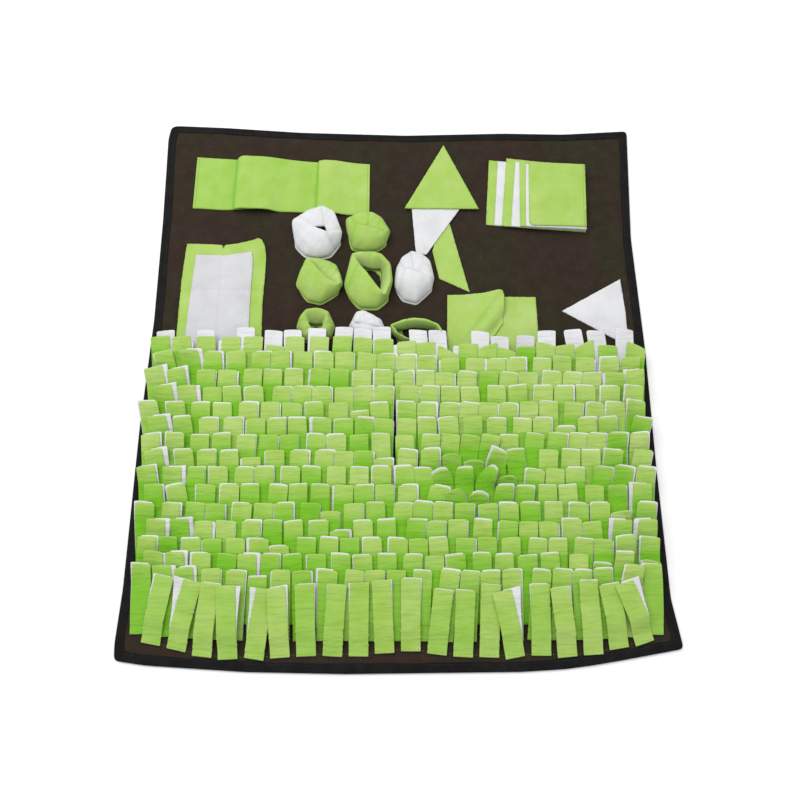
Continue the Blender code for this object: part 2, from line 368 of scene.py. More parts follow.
BASE_BROWN = (0.0375, 0.0258, 0.0170, 1.0)
BASE_RED_BROWN = (0.0410, 0.0235, 0.0170, 1.0)
BASE_OLIVE = (0.0340, 0.0290, 0.0150, 1.0)
BASE_LINT = (0.1700, 0.1450, 0.1150, 1.0)
BASE_DARK = (0.0300, 0.0210, 0.0160, 1.0)

base_nodes = ClothNodes("brushed_brown_cloth")
clouds = base_nodes.cells(9.0, detail=2.0)
tint = base_nodes.ramp(clouds, (0.38, BASE_OLIVE), (0.52, BASE_BROWN), (0.66, BASE_RED_BROWN))
nap = base_nodes.cells(700.0, detail=4.0, roughness=0.7)
nap_shade = base_nodes.ramp(nap, (0.30, BASE_DARK), (0.62, grey(1.0)))
brushed = base_nodes.mix(0.55, tint, nap_shade, blend="MULTIPLY")
blotch = base_nodes.cells(55.0, detail=3.0)
blotch_shade = base_nodes.ramp(blotch, (0.30, grey(0.80)), (0.70, grey(1.12)))
brushed = base_nodes.mix(1.0, brushed, blotch_shade, blend="MULTIPLY")
lint = base_nodes.cells(130.0, kind="voronoi")
lint_mask = base_nodes.ramp(lint, (0.035, grey(1.0)), (0.060, grey(0.0)))
brushed = base_nodes.mix(lint_mask, brushed, BASE_LINT)
base_nodes.finish(brushed, roughness=0.92, specular=0.15, sheen=0.04)
base_nodes.bump([(base_nodes.cells(60.0, detail=4.0), 0.5, 0.0012), (nap, 0.5, 0.0003)])

base_swell = Ripple(seed=3, wavelength=0.110)
cut_line = soft_plan(CUT_INSET)


def inset_at(x, y):
    """Distance inwards from the mat's own edge."""
    nearest = np.full(len(x), np.inf)
    for edge_x, edge_y in cut_line[::2]:
        nearest = np.minimum(nearest, (x - edge_x) ** 2 + (y - edge_y) ** 2)
    return np.sqrt(nearest) + CUT_INSET


def ease(value, start, end):
    """Smooth step from 0 at start to 1 at end."""
    share = np.clip((value - start) / (end - start), 0.0, 1.0)
    return share * share * (3 - 2 * share)


def base_under(x, y):
    """Underside of the base: on the floor, but lifted at the tongue by the binding."""
    return TONGUE_LOW * (1 - ease(inset_at(x, y), GRIP_REACH, BINDING_REACH + UNDER_SWELL))


def base_top(x, y):
    """Upper face of the base, never above its own thickness."""
    low = base_swell(x, y) * BASE_SWELL - BASE_SWELL
    for axis, place, depth, half_width in PACK_CREASES:
        across, along = (y, x) if axis else (x, y)
        offset = across - place - CREASE_WANDER * np.sin(CREASE_WAVE * along)
        low = low - depth * np.exp(-(offset / half_width) ** 2)
    share = ease(inset_at(x, y), GRIP_REACH, BINDING_REACH + TOP_SWELL)
    return TONGUE_HIGH + (BASE_THICK - TONGUE_HIGH + low) * share


base = cloth_piece("base_cloth", cut_line.tolist(), base_under, base_top, BASE_CELL,
                   base_nodes.material)
stand_for(base, "base")


# ---------------------------------------------------------------- edge binding
# Black woven tape folded over the raw edge of the base and sewn through with one line of
# black thread. It puckers a little between the stitches.

BINDING_TOP = 0.0038
BINDING_LEG = 0.0010
BINDING_PUCKER = 0.00016
PUCKER_LENGTH = 0.0120
PUCKER_SWELL = 31.0         # radians a metre over which the puckers come and go
PUCKER_MEAN = 0.6
PUCKER_OUTSIDE = 0.4        # share of them that is left at the tape's outer edge
BINDING_WANDER = 0.00045
WANDER_WAVES = [
    # size  radians a metre  phase
    (1.0,   47.0,            0.0),
    (0.6,   113.0,           1.0),
]
BINDING_BEND_Z = 0.0022     # the tape's upper leg lies above this
BINDING_CRISP = math.radians(50)
BINDING_SECTION = [
    # inset           z
    (BINDING_REACH, BINDING_TOP - BINDING_LEG),
    (BINDING_REACH, BINDING_TOP - 0.0001),
    (0.0095,        BINDING_TOP - 0.0002),
    (0.0060,        BINDING_TOP + 0.0001),
    (0.0030,        BINDING_TOP),
    (0.0011,        BINDING_TOP - 0.0005),
    (0.0003,        BINDING_TOP - 0.0012),
    (0.0,           0.0019),
    (0.0003,        0.0011),
    (0.0012,        0.0004),
    (0.0026,        0.0),
    (BINDING_REACH, 0.0),
    (BINDING_REACH, BINDING_LEG),
    (0.0011,        BINDING_LEG),
    (0.0011,        BINDING_TOP - BINDING_LEG),
]
THREAD_RADIUS = 0.00032
THREAD_SIDES = 5
BETWEEN_PLIES = 0.7         # how dark a thread is between its plies
THREAD_BED = 0.0001         # how far a line of thread lies off the face of its cloth
STITCH_SECTIONS = [
    # along  plump  sunk    in shares of a stitch's length and of its thread's radius
    (0.0,    0.25,  0.9),
    (0.18,   0.85,  0.2),
    (0.5,    1.0,   0.0),
    (0.82,   0.85,  0.2),
    (1.0,    0.25,  0.9),
]
STITCH_SHARE = 0.66         # of its pitch, which a stitch takes up
BINDING_STITCH_INSET = 0.0094
BINDING_STITCH_PITCH = 0.0042
BLACK_TAPE = (0.0042, 0.0042, 0.0048, 1.0)
BLACK_TAPE_WORN = (0.0110, 0.0110, 0.0120, 1.0)
BLACK_THREAD = (0.0080, 0.0080, 0.0090, 1.0)

tape_nodes = ClothNodes("black_binding_tape")
tape_weave = tape_nodes.cells(1500.0, detail=2.0)
tape_dust = tape_nodes.cells(60.0, detail=4.0, roughness=0.65)
tape_tint = tape_nodes.ramp(tape_dust, (0.40, BLACK_TAPE), (0.75, BLACK_TAPE_WORN))
tape_shade = tape_nodes.ramp(tape_weave, (0.35, grey(0.7)), (0.65, grey(1.2)))
tape_nodes.finish(tape_nodes.mix(1.0, tape_tint, tape_shade, blend="MULTIPLY"),
                  roughness=0.82, specular=0.16, sheen=0.02)
tape_nodes.bump([(tape_nodes.cells(90.0, detail=3.0), 0.4, 0.0008), (tape_weave, 0.6, 0.0002)])


def thread_material(name, colour):
    """Plied sewing thread."""
    nodes = ClothNodes(name)
    plies = nodes.cells(2500.0, detail=1.0)
    dark = tuple(BETWEEN_PLIES * channel for channel in colour[:3]) + (1.0,)
    nodes.finish(nodes.ramp(plies, (0.3, dark), (0.7, colour)), roughness=0.6)
    nodes.bump([(plies, 0.5, 0.0001)])
    return nodes.material


def grid_quads(rows, columns, rows_close=False, columns_close=False):
    """Faces of a grid of points counted row by row; either way, the grid may close up."""
    quads = []
    for row in range(rows if rows_close else rows - 1):
        here = row * columns
        after = (row + 1) % rows * columns
        for column in range(columns if columns_close else columns - 1):
            beside = (column + 1) % columns
            quads.append((here + column, here + beside, after + beside, after + column))
    return quads


STITCH_FACES = grid_quads(len(STITCH_SECTIONS), THREAD_SIDES, columns_close=True)
STITCH_FACES.append(tuple(reversed(range(THREAD_SIDES))))
STITCH_FACES.append(tuple(range((len(STITCH_SECTIONS) - 1) * THREAD_SIDES,
                                len(STITCH_SECTIONS) * THREAD_SIDES)))


def unit(vector):
    """The same direction, one metre long."""
    return vector / max(np.linalg.norm(vector), 1e-9)


def sewn_line(path, pitch, length=STITCH_SHARE, radius=THREAD_RADIUS):
    """Vertices and faces of running stitches along a path of points."""
    path = np.array(path, dtype=float)
    steps = np.linalg.norm(np.diff(path, axis=0), axis=1)
    travelled = np.concatenate(([0.0], np.cumsum(steps)))
    sections = np.array(STITCH_SECTIONS)
    verts = []
    faces = []
    for number in range(int(travelled[-1] / pitch)):
        start = (number + 0.5 * (1 - length)) * pitch
        along = start + length * pitch * sections[:, 0]
        centre = np.column_stack([np.interp(along, travelled, path[:, axis]) for axis in range(3)])
        heading = unit(centre[-1] - centre[0])
        aside = unit(np.array([-heading[1], heading[0], 0.0]))
        upward = np.cross(heading, aside)
        upward *= math.copysign(1.0, upward[2])
        faces += shifted(STITCH_FACES, len(verts))
        for point, (_, plump, sunk) in zip(centre, STITCH_SECTIONS):
            for side in range(THREAD_SIDES):
                angle = math.tau * side / THREAD_SIDES
                verts.append(tuple(point + plump * radius * math.cos(angle) * aside
                                   + (plump * radius * math.sin(angle) - sunk * radius) * upward))
    return verts, faces


def sewing(name, lines, material):
    """One piece of all the running stitches on a cloth."""
    verts = []
    faces = []
    for line_verts, line_faces in lines:
        faces += shifted(line_faces, len(verts))
        verts += line_verts
    thread = mesh_piece(name, verts, faces, [True] * len(faces), material)
    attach(thread, "root")


def turn_outwards(mesh, crisp=None):
    """Turn every face outwards; where asked, edges bent further than an angle stay crisp."""
    builder = bmesh.new()
    builder.from_mesh(mesh)
    bmesh.ops.recalc_face_normals(builder, faces=builder.faces[:])
    if crisp is not None:
        for edge in builder.edges:
            edge.smooth = edge.calc_face_angle(0.0) < crisp
    builder.to_mesh(mesh)
    builder.free()


outer_line = soft_plan(0.0)
travelled = np.cumsum(np.linalg.norm(outer_line - np.roll(outer_line, 1, axis=0), axis=1))
inward = (soft_plan(BINDING_REACH) - outer_line) / BINDING_REACH
pucker = BINDING_PUCKER * np.sin(math.tau * travelled / PUCKER_LENGTH)
pucker *= PUCKER_MEAN + (1 - PUCKER_MEAN) * np.sin(travelled * PUCKER_SWELL)
wander = BINDING_WANDER * sum(size * np.sin(travelled * wave + phase)
                              for size, wave, phase in WANDER_WAVES)
binding_rings = []
for inset, z in BINDING_SECTION:
    top_share = 1.0 if z > BINDING_BEND_Z else 0.0
    share = inset / BINDING_REACH
    points = outer_line + inward * (inset + wander * share * top_share)[:, None]
    height = z + top_share * pucker * (PUCKER_OUTSIDE + (1 - PUCKER_OUTSIDE) * share)
    binding_rings.append(np.column_stack((points, np.maximum(height, 0.0))))
binding_faces = grid_quads(len(binding_rings), len(outer_line), rows_close=True, columns_close=True)
binding = mesh_piece("edge_binding_tape", np.vstack(binding_rings).tolist(), binding_faces,
                     [True] * len(binding_faces), tape_nodes.material)
turn_outwards(binding.data, crisp=BINDING_CRISP)
stand_for(binding, "edge_binding")

stitch_path = np.column_stack((outer_line + inward * BINDING_STITCH_INSET,
                               BINDING_TOP - THREAD_BED + pucker))
stitch_path = np.vstack((stitch_path, stitch_path[:1]))
black_thread = thread_material("black_thread", BLACK_THREAD)
sewing("edge_binding_sewing", [sewn_line(stitch_path, BINDING_STITCH_PITCH)], black_thread)


# ---------------------------------------------------------------- strip rows
# Sixteen rows of felt strips, each strip a green one lying on a white one, sewn across the
# base at their front ends only. Every row leans back over the rows behind it, so that only
# row 1 shows whole and the others show their free ends, like shingles.

CLEAR = 0.0003
FELT_FLOOR = BASE_THICK + CLEAR
ROW_COUNT = 16
ROW_PITCH = 0.0225
FIRST_SEAM_Y = -0.3830
STRIP_WIDTH = 0.0240
WHITE_NARROWER = 0.0012     # than the green strip above
WIDTH_GAIN = 0.00012        # each row is this much wider than the one before it
STRIP_LENGTH = 0.0840
STRIP_FELT = 0.00122
SEAM_DEPTH = 0.0050
RISE_DEPTH = 0.0220
RISE_SLOPE = 0.360
LEAN_SLOPE = 0.165
RISE_SOFTENING = [
    # shift   share         the rise's two bends are rounded by averaging it with itself
    (-0.004,  0.25),
    (0.0,     0.50),
    (0.004,   0.25),
]
ROW_BOW = 0.0220            # the rows' ends step back this far, most of all in row 1
BOW_REACH = 0.3300
BOW_POWER = 5
BOW_DECAY = 0.45
DRIFT_TURN = 0.0800         # over twice this, a row's drift goes from its left to its right value
WHITE_LIFT = 0.00012
GREEN_LIFT = 0.00150
FREE_DEPTH = 0.0600         # beyond this no other row lies on a strip
FREE_EASE = 0.0040          # and this much before it a strip begins to bend freely
SHADE_EASE = 0.0010         # and to be less shaded
STRIP_GAP = 0.0004          # least gap between neighbours in a row
FIRST_ROW_PLAN = (20, -0.3162, 0.3150)
STRIP_ROWS = [
    # strips  left_x   right_x   splay_left  splay_right     even rows, then odd rows
    (23,     -0.3310,  0.3270,   0.0100,     0.0020),
    (22,     -0.3180,  0.3220,   0.0140,     0.0050),
]
HIDDEN_DEPTHS = [0.0, 0.004, 0.010, 0.018, 0.027, 0.038, 0.047, 0.054]
FREE_DEPTHS = [0.0600, 0.0635, 0.067, 0.0700, 0.073, 0.076, 0.079, 0.0818, 0.0840]
ACROSS = [-0.5, -0.47, -0.40, -0.14, 0.14, 0.40, 0.47, 0.5]
CORNER_CUTS = [0.0013, 0.0005, 0.0, 0.0, 0.0, 0.0, 0.0005, 0.0013]

SPLAYED_ROWS = (5.0, 8.0)   # between these the left ends come to stray fully outwards
LEAST_SPLAY = 0.25          # share of it before them
SPLAY_POWER = 7

PARTING_X = -0.0050         # the pile parts along this line
PARTING_HALF = 0.0030
PARTING_ROWS = (4.0, 9.0)   # from none to all of it
PARTING_STRIPS = 8          # strips on each side that are drawn to it
PARTING_SLACK = 0.0060      # strips with their middle less than this left of it go right

# How a strip bends: its lean, hook and lift grow towards its tip by these powers.
LEAN_POWER = 1.15
HOOK_POWER = 1.5
LIFT_POWER = 1.6
HOOK_LENGTH = 0.0300        # length of the free end that hooks sideways
LOFT = 0.0150               # most that a free end stands above the way it would lie
HELD_WAVE = 0.3             # share of a strip's waves and slip that its held part has
WAVE_TURN = 210.0           # radians of a wave for each metre along a strip
WRINKLE_WANDER = (0.0008, 500.0, 900.0)     # size, and radians a metre across and along

# Row 1 lies open, so each of its strips is placed: how far its tip strays sideways, how far
# the white strip slips out beside it, how much longer the white one is, how far its seam
# steps back from the row's, and how much longer the whole pair is.
FIRST_ROW = [
    # lean     slip     longer   seam     length
    (0.0150,  -0.0030,  0.0004,  0.0000,  0.0000),
    (0.0185,  -0.0130,  0.0004, -0.0010,  0.0000),
    (0.0090,   0.0018,  0.0010, -0.0050,  0.0024),
    (-0.0038,  0.0020, -0.0010, -0.0058,  0.0012),
    (0.0130,  -0.0085, -0.0006, -0.0044, -0.0014),
    (-0.0065,  0.0026,  0.0012, -0.0020, -0.0019),
    (-0.0036,  0.0024,  0.0008,  0.0000,  0.0007),
    (0.0050,  -0.0012, -0.0008,  0.0000,  0.0007),
    (0.0007,  -0.0024, -0.0004,  0.0000,  0.0030),
    (-0.0044,  0.0022,  0.0002,  0.0038,  0.0016),
    (0.0000,   0.0024,  0.0014,  0.0062,  0.0010),
    (0.0100,   0.0014,  0.0008,  0.0024, -0.0080),
    (0.0050,  -0.0014,  0.0010, -0.0007, -0.0056),
    (0.0030,   0.0016,  0.0006, -0.0012,  0.0014),
    (-0.0172,  0.0100,  0.0012, -0.0020, -0.0063),
    (0.0000,  -0.0016,  0.0010,  0.0000,  0.0000),
    (-0.0085,  0.0020,  0.0006, -0.0029, -0.0023),
    (-0.0045,  0.0012,  0.0012, -0.0024,  0.0037),
    (-0.0135,  0.0020,  0.0010,  0.0012, -0.0075),
    (-0.0290,  0.0040,  0.0016,  0.0012, -0.0090),
]
PAIR_RISE = 0.0039          # height that a pair of strips adds to whatever lies on it
FIRST_ROW_RISE = (0.0120, 0.0340)       # depths between which row 1 climbs onto what is below
FIRST_ROW_LOOSE = 0.0200    # depth from which row 1's slack waves are full
WRINKLE_WIDTH = 0.0013      # of the fine slanting wrinkles across the strips of row 1
# How far each row's tips lie from even spacing, at the left and at the right of the mat.
ROW_DRIFT = [
    # left     right
    (0.0000,   0.0000),
    (-0.0041, -0.0041),
    (-0.0064, -0.0064),
    (-0.0085, -0.0085),
    (-0.0080, -0.0080),
    (-0.0072, -0.0072),
    (-0.0058, -0.0058),
    (-0.0044, -0.0044),
    (-0.0040, -0.0040),
    (-0.0043, -0.0043),
    (-0.0039, -0.0039),
    (-0.0041, -0.0041),
    (-0.0037, -0.0037),
    (-0.0005, -0.0050),
    (0.0028,  -0.0070),
    (0.0036,  -0.0085),
]
# Right of the parting row 16 was tossed about: how its green strips lie, counted from the left, and
# how far each is painted towards shade or light.
TOSSED_GREENS = [
    # strip  lean     longer   skew    tone
    (12,    -0.0020,  0.0010,  0.06,   0.60),
    (13,     0.0040, -0.0070, -0.45,   0.48),
    (14,     0.0065,  0.0010,  0.10,   0.38),
    (15,     0.0065, -0.0010,  0.42,   0.50),
    (16,     0.0040, -0.0065, -0.20,   0.36),
    (17,     0.0030, -0.0025,  0.06,   0.04),
    (18,     0.0000,  0.0015, -0.22,   0.58),
    (19,    -0.0010, -0.0005,  0.12,   0.46),
    (20,    -0.0030,  0.0015,  0.46,   0.42),
    (21,     0.0000, -0.0010, -0.06,   0.24),
    (22,     0.0110, -0.0005, -0.32,   0.44),
]
HIDDEN_WHITE = -0.0040      # a white strip of row 16 that stays under its green one
SLIP_POWER = 1.7            # the white strips of row 1 slip out only towards their tips
# Long white strips that reach out of row 16 towards the hiding places.
LONG_WHITES = [
    # left_x   right_x   tip_y
    (-0.3320, -0.3060,  0.0500),
    (-0.2730, -0.2550,  0.0520),
    (-0.2230, -0.1950,  0.0550),
    (-0.1800, -0.1620,  0.0510),
    (-0.1610, -0.1400,  0.0520),
    (-0.1230, -0.1000,  0.0540),
    (-0.0860, -0.0640,  0.0560),
    (-0.0620, -0.0400,  0.0540),
    (-0.0390, -0.0160,  0.0560),
    (0.0180,   0.0380,  0.0510),
    (0.0390,   0.0620,  0.0500),
    (0.1000,   0.1240,  0.0480),
    (0.1270,   0.1500,  0.0410),
    (0.1620,   0.1850,  0.0430),
    (0.1920,   0.2130,  0.0500),
    (0.2290,   0.2540,  0.0520),
    (0.2600,   0.2840,  0.0500),
    (0.2970,   0.3210,  0.0500),
]
# The pile is ruffled here: strips are rolled on edge, twisted and pushed apart.
RUFFLE_X = 0.1020
RUFFLE_Y = -0.1480
RUFFLE_HALF_X = 0.0760
RUFFLE_HALF_Y = 0.0540
RUFFLE_ROLL = (0.4, 1.1)
RUFFLE_STRAYS = [
    # what      from     to
    ("lift",    0.002,   0.012),
    ("hook",   -0.016,   0.016),
    ("length",  0.0,    -0.016),
    ("longer",  0.0,     0.0020),
    ("cup",    -0.008,   0.002),
    ("arch",    0.0,     0.0040),
]
# A ruffled strip is painted in shade, the more the nearer its tip lies to the patch's middle.
RUFFLE_TONE = 0.42          # the palest that a ruffled strip is
RUFFLE_PAINTED_SHADE = 0.45

FELT_GREEN = (0.3650, 0.5480, 0.1170, 1.0)
FELT_GREEN_DEEP = (0.3350, 0.5200, 0.0840, 1.0)
FELT_GREEN_PALE = (0.4200, 0.5750, 0.1480, 1.0)
FELT_WHITE = (0.6900, 0.6900, 0.7100, 1.0)
FELT_WHITE_DEEP = (0.6350, 0.6350, 0.6550, 1.0)
FELT_WHITE_PALE = (0.7300, 0.7300, 0.7450, 1.0)
FIBRE_DARK = (0.84, 0.86, 0.80, 1.0)
FIBRE_PALE = (1.06, 1.05, 1.10, 1.0)


def felt(name, deep, plain, pale, shaded, lit, creased):
    """Pressed felt: mottled, with fine fibres; a creased one has soft cross wrinkles. The tone at
    each point paints shade or light into its colour.
    """
    nodes = ClothNodes(name)
    clouds = nodes.cells(34.0, detail=3.0)
    colour = nodes.ramp(clouds, (0.30, deep), (0.50, plain), (0.72, pale))
    fibres = nodes.cells(900.0, stretch=(1.0, 2.4, 1.0), detail=5.0, roughness=0.72)
    fibre_shade = nodes.ramp(fibres, (0.32, FIBRE_DARK), (0.66, FIBRE_PALE))
    colour = nodes.mix(1.0, colour, fibre_shade, blend="MULTIPLY")
    # painted shade and light: the tone darkens the felt towards its shaded colour or lifts it
    # towards its lit one
    tone = nodes.add("ShaderNodeAttribute", attribute_name="tone")
    painted_light_and_shade = nodes.ramp(tone.outputs["Fac"], (0.0, shaded), (EVEN_TONE, grey(1.0)), (1.0, lit))
    colour = nodes.mix(1.0, colour, painted_light_and_shade, blend="MULTIPLY")
    nodes.finish(colour, roughness=0.95, specular=0.15, sheen=0.10, sheen_roughness=0.6)
    pilling = nodes.cells(260.0, detail=3.0)
    layers = [(pilling, 0.35, 0.0006), (fibres, 0.45, 0.0003)]
    if creased:
        creases = nodes.cells(34.0, stretch=(1.0, 5.5, 1.0), detail=2.5, roughness=0.5)
        layers.insert(0, (creases, 0.75, 0.0034))
    nodes.bump(layers)
    return nodes.material


EVEN_TONE = 0.5             # felt in its own colour, neither shaded nor lit
HIDDEN_SHADE = 0.42         # a strip is darker where the row before it keeps off the light
HIDDEN_SHARES = (0.0, 0.35, 1.0)        # of that shade in row 1, in row 2 and in all the others
HIDDEN_SHADE_REACH = 0.0110
TIP_PAINTED_LIGHT = 0.12            # painted light: a little paler towards its tip
TIP_PAINTED_LIGHT_REACH = 0.0120
CUT_END_PAINTED_HIGHLIGHT = 0.40        # painted highlight: paler still along its cut end
GREEN_SHADED = (0.48, 0.86, 0.16, 1.0)
GREEN_LIT = (1.18, 1.08, 1.55, 1.0)
WHITE_SHADED = grey(0.80)
WHITE_LIT = grey(1.05)
green_strip_felt = felt("green_strip_felt", FELT_GREEN_DEEP, FELT_GREEN, FELT_GREEN_PALE,
                        GREEN_SHADED, GREEN_LIT, True)
white_strip_felt = felt("white_strip_felt", FELT_WHITE_DEEP, FELT_WHITE, FELT_WHITE_PALE,
                        WHITE_SHADED, WHITE_LIT, True)


def strip_rise(depth):
    """Height of a strip above its seam, at a distance behind the row's front edge."""
    total = 0.0
    for shift, share in RISE_SOFTENING:
        moved = depth + shift
        steep = np.clip(moved - SEAM_DEPTH, 0.0, RISE_DEPTH)
        shallow = np.maximum(moved - SEAM_DEPTH - RISE_DEPTH, 0.0)
        total = total + share * (steep * RISE_SLOPE + shallow * LEAN_SLOPE)
    return total


def seam_y(number, x):
    """Front edge of a row: nearly straight, bent back towards both sides of the mat."""
    bend = ROW_BOW * np.abs(x / BOW_REACH) ** BOW_POWER * BOW_DECAY ** (number - 1)
    left, right = ROW_DRIFT[number - 1]
    drift = left + (right - left) * ease(x, -DRIFT_TURN, DRIFT_TURN)
    return FIRST_SEAM_Y + ROW_PITCH * (number - 1) + bend + drift


def strip_width(number):
    return STRIP_WIDTH + WIDTH_GAIN * (number - 1)


class Strip:
    """One pair of strips: where it is sewn and how its free end lies."""

    def __init__(self, number, seam_x):
        self.number = number
        self.width = strip_width(number)
        self.white_width = self.width - WHITE_NARROWER
        self.seam_x = seam_x
        self.length = STRIP_LENGTH
        self.lean = 0.0         # sideways stray of the tip
        self.hook = 0.0         # sideways bend of the free end only
        self.roll = 0.0         # twist of the free end about its length
        self.lift = 0.0         # rise of the free end off the pile
        self.cup = 0.0          # both long edges curl up, or down if negative
        self.wave = 0.0         # height of the slack waves along it
        self.phase = 0.0
        self.slip = 0.0         # sideways stray of the white strip from under the green one
        self.longer = 0.0       # how much further the white strip reaches
        self.skew = 0.0         # how far from square its end is cut or pulled
        self.white_skew = 0.0   # the same for the white strip under it
        self.tone = EVEN_TONE   # how light its felt is, from shaded at 0 to lit at 1
        self.rounding = 1.0     # how far its corners are rounded
        self.arch = 0.0         # how far its cut end bows out
        self.back = 0.0         # how far its own seam steps back from the row's
        self.wrinkles = []      # place along it, slant and height of each fine wrinkle


def strip_surface(strip, across, depth):
    """Points of the pair's underside, on a grid of places across and along it."""
    share = depth / STRIP_LENGTH
    free = ease(depth, FREE_DEPTH - FREE_EASE, STRIP_LENGTH)
    middle_x = strip.seam_x + strip.lean * share ** LEAN_POWER + strip.hook * free ** HOOK_POWER
    turn = np.arctan(strip.lean / STRIP_LENGTH + strip.hook * HOOK_POWER * free / HOOK_LENGTH)
    roll = strip.roll * free
    flat = across * np.cos(roll)
    x = middle_x + flat * np.cos(turn)
    y = seam_y(strip.number, middle_x) + strip.back + depth - flat * np.sin(turn)
    base_depth = np.maximum(y - seam_y(strip.number, x) - strip.back, 0.0)
    if strip.number == 1:
        rising = ease(depth, *FIRST_ROW_RISE)
        loose = ease(depth, SEAM_DEPTH, FIRST_ROW_LOOSE)
    else:
        rising = free ** LIFT_POWER
        loose = HELD_WAVE + (1 - HELD_WAVE) * free
    loft = across * np.sin(roll) + 0.5 * strip.width * np.abs(np.sin(roll))
    loft = loft + strip.lift * rising
    loft = loft + strip.cup * free * (across / strip.width * 2) ** 2
    loft = loft + strip.wave * loose * (1 + np.sin(depth * WAVE_TURN + strip.phase)) / 2
    wander, wave_across, wave_along = WRINKLE_WANDER
    for place, slant, height in strip.wrinkles:
        bent = wander * np.sin(across * wave_across + place * wave_along)
        away = depth + slant * across + bent - place
        loft = loft + height * np.exp(-(away / WRINKLE_WIDTH) ** 2)
    z = FELT_FLOOR + strip_rise(base_depth) + LOFT * np.tanh(loft / LOFT)
    if strip.number == 1:
        row_step = seam_y(2, x) - seam_y(1, x) - strip.back
        z = z + np.maximum(PAIR_RISE - LEAN_SLOPE * row_step, 0.0) * rising
    return np.stack((x, y, z), axis=-1)


def surface_normals(points):
    """Unit normals of a grid of points, from its neighbours."""
    along = np.gradient(points, axis=0)
    aside = np.gradient(points, axis=1)
    normal = np.cross(aside, along)
    length = np.linalg.norm(normal, axis=-1, keepdims=True)
    return normal / np.maximum(length, 1e-12)


def felt_faces(rows, columns, closed=False):
    """Faces of felt round a grid of points, its top layer first, and where its cut edges start."""
    under = rows * columns
    faces = []
    for quad in grid_quads(rows, columns, columns_close=closed):
        faces.append(quad)
        faces += shifted([quad[::-1]], under)
    flat_from = len(faces)
    first_row = list(range(columns))
    last_row = list(range((rows - 1) * columns, rows * columns))
    if closed:
        rims = [first_row + first_row[:1], (last_row + last_row[:1])[::-1]]
    else:
        right = [row * columns + columns - 1 for row in range(1, rows)]
        left = [row * columns for row in range(rows - 2, -1, -1)]
        rims = [first_row + right + last_row[-2::-1] + left]
    for rim in rims:
        for first, second in zip(rim, rim[1:]):
            faces.append((second, first, first + under, second + under))
    return faces, flat_from


def set_tones(mesh, tones):
    """How far the felt is painted towards its shaded or its lit colour at each point, which its
    material reads.
    """
    mesh.attributes.new("tone", "FLOAT", "POINT").data.foreach_set("value", tones)


def strip_mesh(strip, white, depths):
    """Vertices and faces of one closed felt strip."""
    across = np.array(ACROSS) * (strip.white_width if white else strip.width)
    length = strip.length + (strip.longer if white else 0.0)
    bowed = strip.arch * (2 * across / strip.width) ** 2
    skew = strip.white_skew if white else strip.skew
    end = length + skew * across - bowed - strip.rounding * np.array(CORNER_CUTS)
    depth = np.array(depths)[:, None] * np.ones(len(across))[None, :]
    stretch = ease(depth, FREE_DEPTH, STRIP_LENGTH)
    depth = depth + (end[None, :] - STRIP_LENGTH) * stretch
    grid = np.ones(depth.shape) * across[None, :]
    if white:
        share = depth / STRIP_LENGTH
        free_slip = share ** SLIP_POWER if strip.number == 1 else HELD_WAVE + (1 - HELD_WAVE) * share
        grid = grid + strip.slip * free_slip
    points = strip_surface(strip, grid, depth)
    normals = surface_normals(points)
    low = WHITE_LIFT if white else GREEN_LIFT
    bottom = points + normals * low
    top = points + normals * (low + STRIP_FELT)
    faces, flat_from = felt_faces(*depth.shape)
    return np.concatenate((top.reshape(-1, 3), bottom.reshape(-1, 3))), faces, flat_from


def strips_piece(name, strips, white, depths, material, node):
    """All the strips of one felt in a row, as one piece."""
    verts = []
    faces = []
    smooth = []
    tones = []
    count = 0
    painted_shading = 1 - ease(np.array(depths), FREE_DEPTH - SHADE_EASE, FREE_DEPTH + HIDDEN_SHADE_REACH)
    painted_shading = painted_shading * HIDDEN_SHARES[min(strips[0].number, len(HIDDEN_SHARES)) - 1]
    for strip in strips:
        strip_verts, strip_faces, flat_from = strip_mesh(strip, white, depths)
        faces += shifted(strip_faces, count)
        smooth += [index < flat_from for index in range(len(strip_faces))]
        # Painted shade where the row before covers the strip, painted light towards its tip and a
        # painted highlight along its cut end.
        tip_painted_light = ease(np.array(depths), strip.length - TIP_PAINTED_LIGHT_REACH, strip.length)
        along = np.clip(strip.tone - HIDDEN_SHADE * painted_shading + TIP_PAINTED_LIGHT * tip_painted_light, 0.0, 1.0)
        along[-1] = min(1.0, along[-1] + CUT_END_PAINTED_HIGHLIGHT)
        tones += np.tile(np.repeat(along, len(ACROSS)), 2).tolist()
        verts.append(strip_verts)
        count += len(strip_verts)
    piece = mesh_piece(name, np.vstack(verts).tolist(), faces, smooth, material)
    set_tones(piece.data, tones)
    stand_for(piece, node)


def parted_x(number, regular):
    """Seam places of a row: crowded away from the parting, or drawn up to it."""
    strength = float(ease(np.array(number), *PARTING_ROWS))
    places = list(regular)
    left_last = max(index for index, x in enumerate(regular) if x < PARTING_X - PARTING_SLACK)
    touching = strip_width(number) + STRIP_GAP
    for direction, nearest in ((-1, left_last), (1, left_last + 1)):
        wanted = PARTING_X + direction * (PARTING_HALF + strip_width(number) / 2)
        shift = (wanted - regular[nearest]) * strength
        places[nearest] += shift
        for step in range(1, PARTING_STRIPS):
            index = nearest + direction * step
            if shift * direction > 0:
                beside = places[index - direction] + direction * touching
                places[index] = direction * max(direction * regular[index], direction * beside)
            else:
                places[index] += shift * (1 - step / PARTING_STRIPS)
    return places


def row_plan(number):
    """Number of strips in a row, its ends, and how far its outer tips splay."""
    if number == 1:
        return FIRST_ROW_PLAN + (0.0, 0.0)
    return STRIP_ROWS[number % 2]


def white_room(before, strip, width):
    """How far two white strips can slip towards each other before they meet at the tip."""
    apart = strip.seam_x + strip.lean - before.seam_x - before.lean
    return apart - width - STRIP_GAP


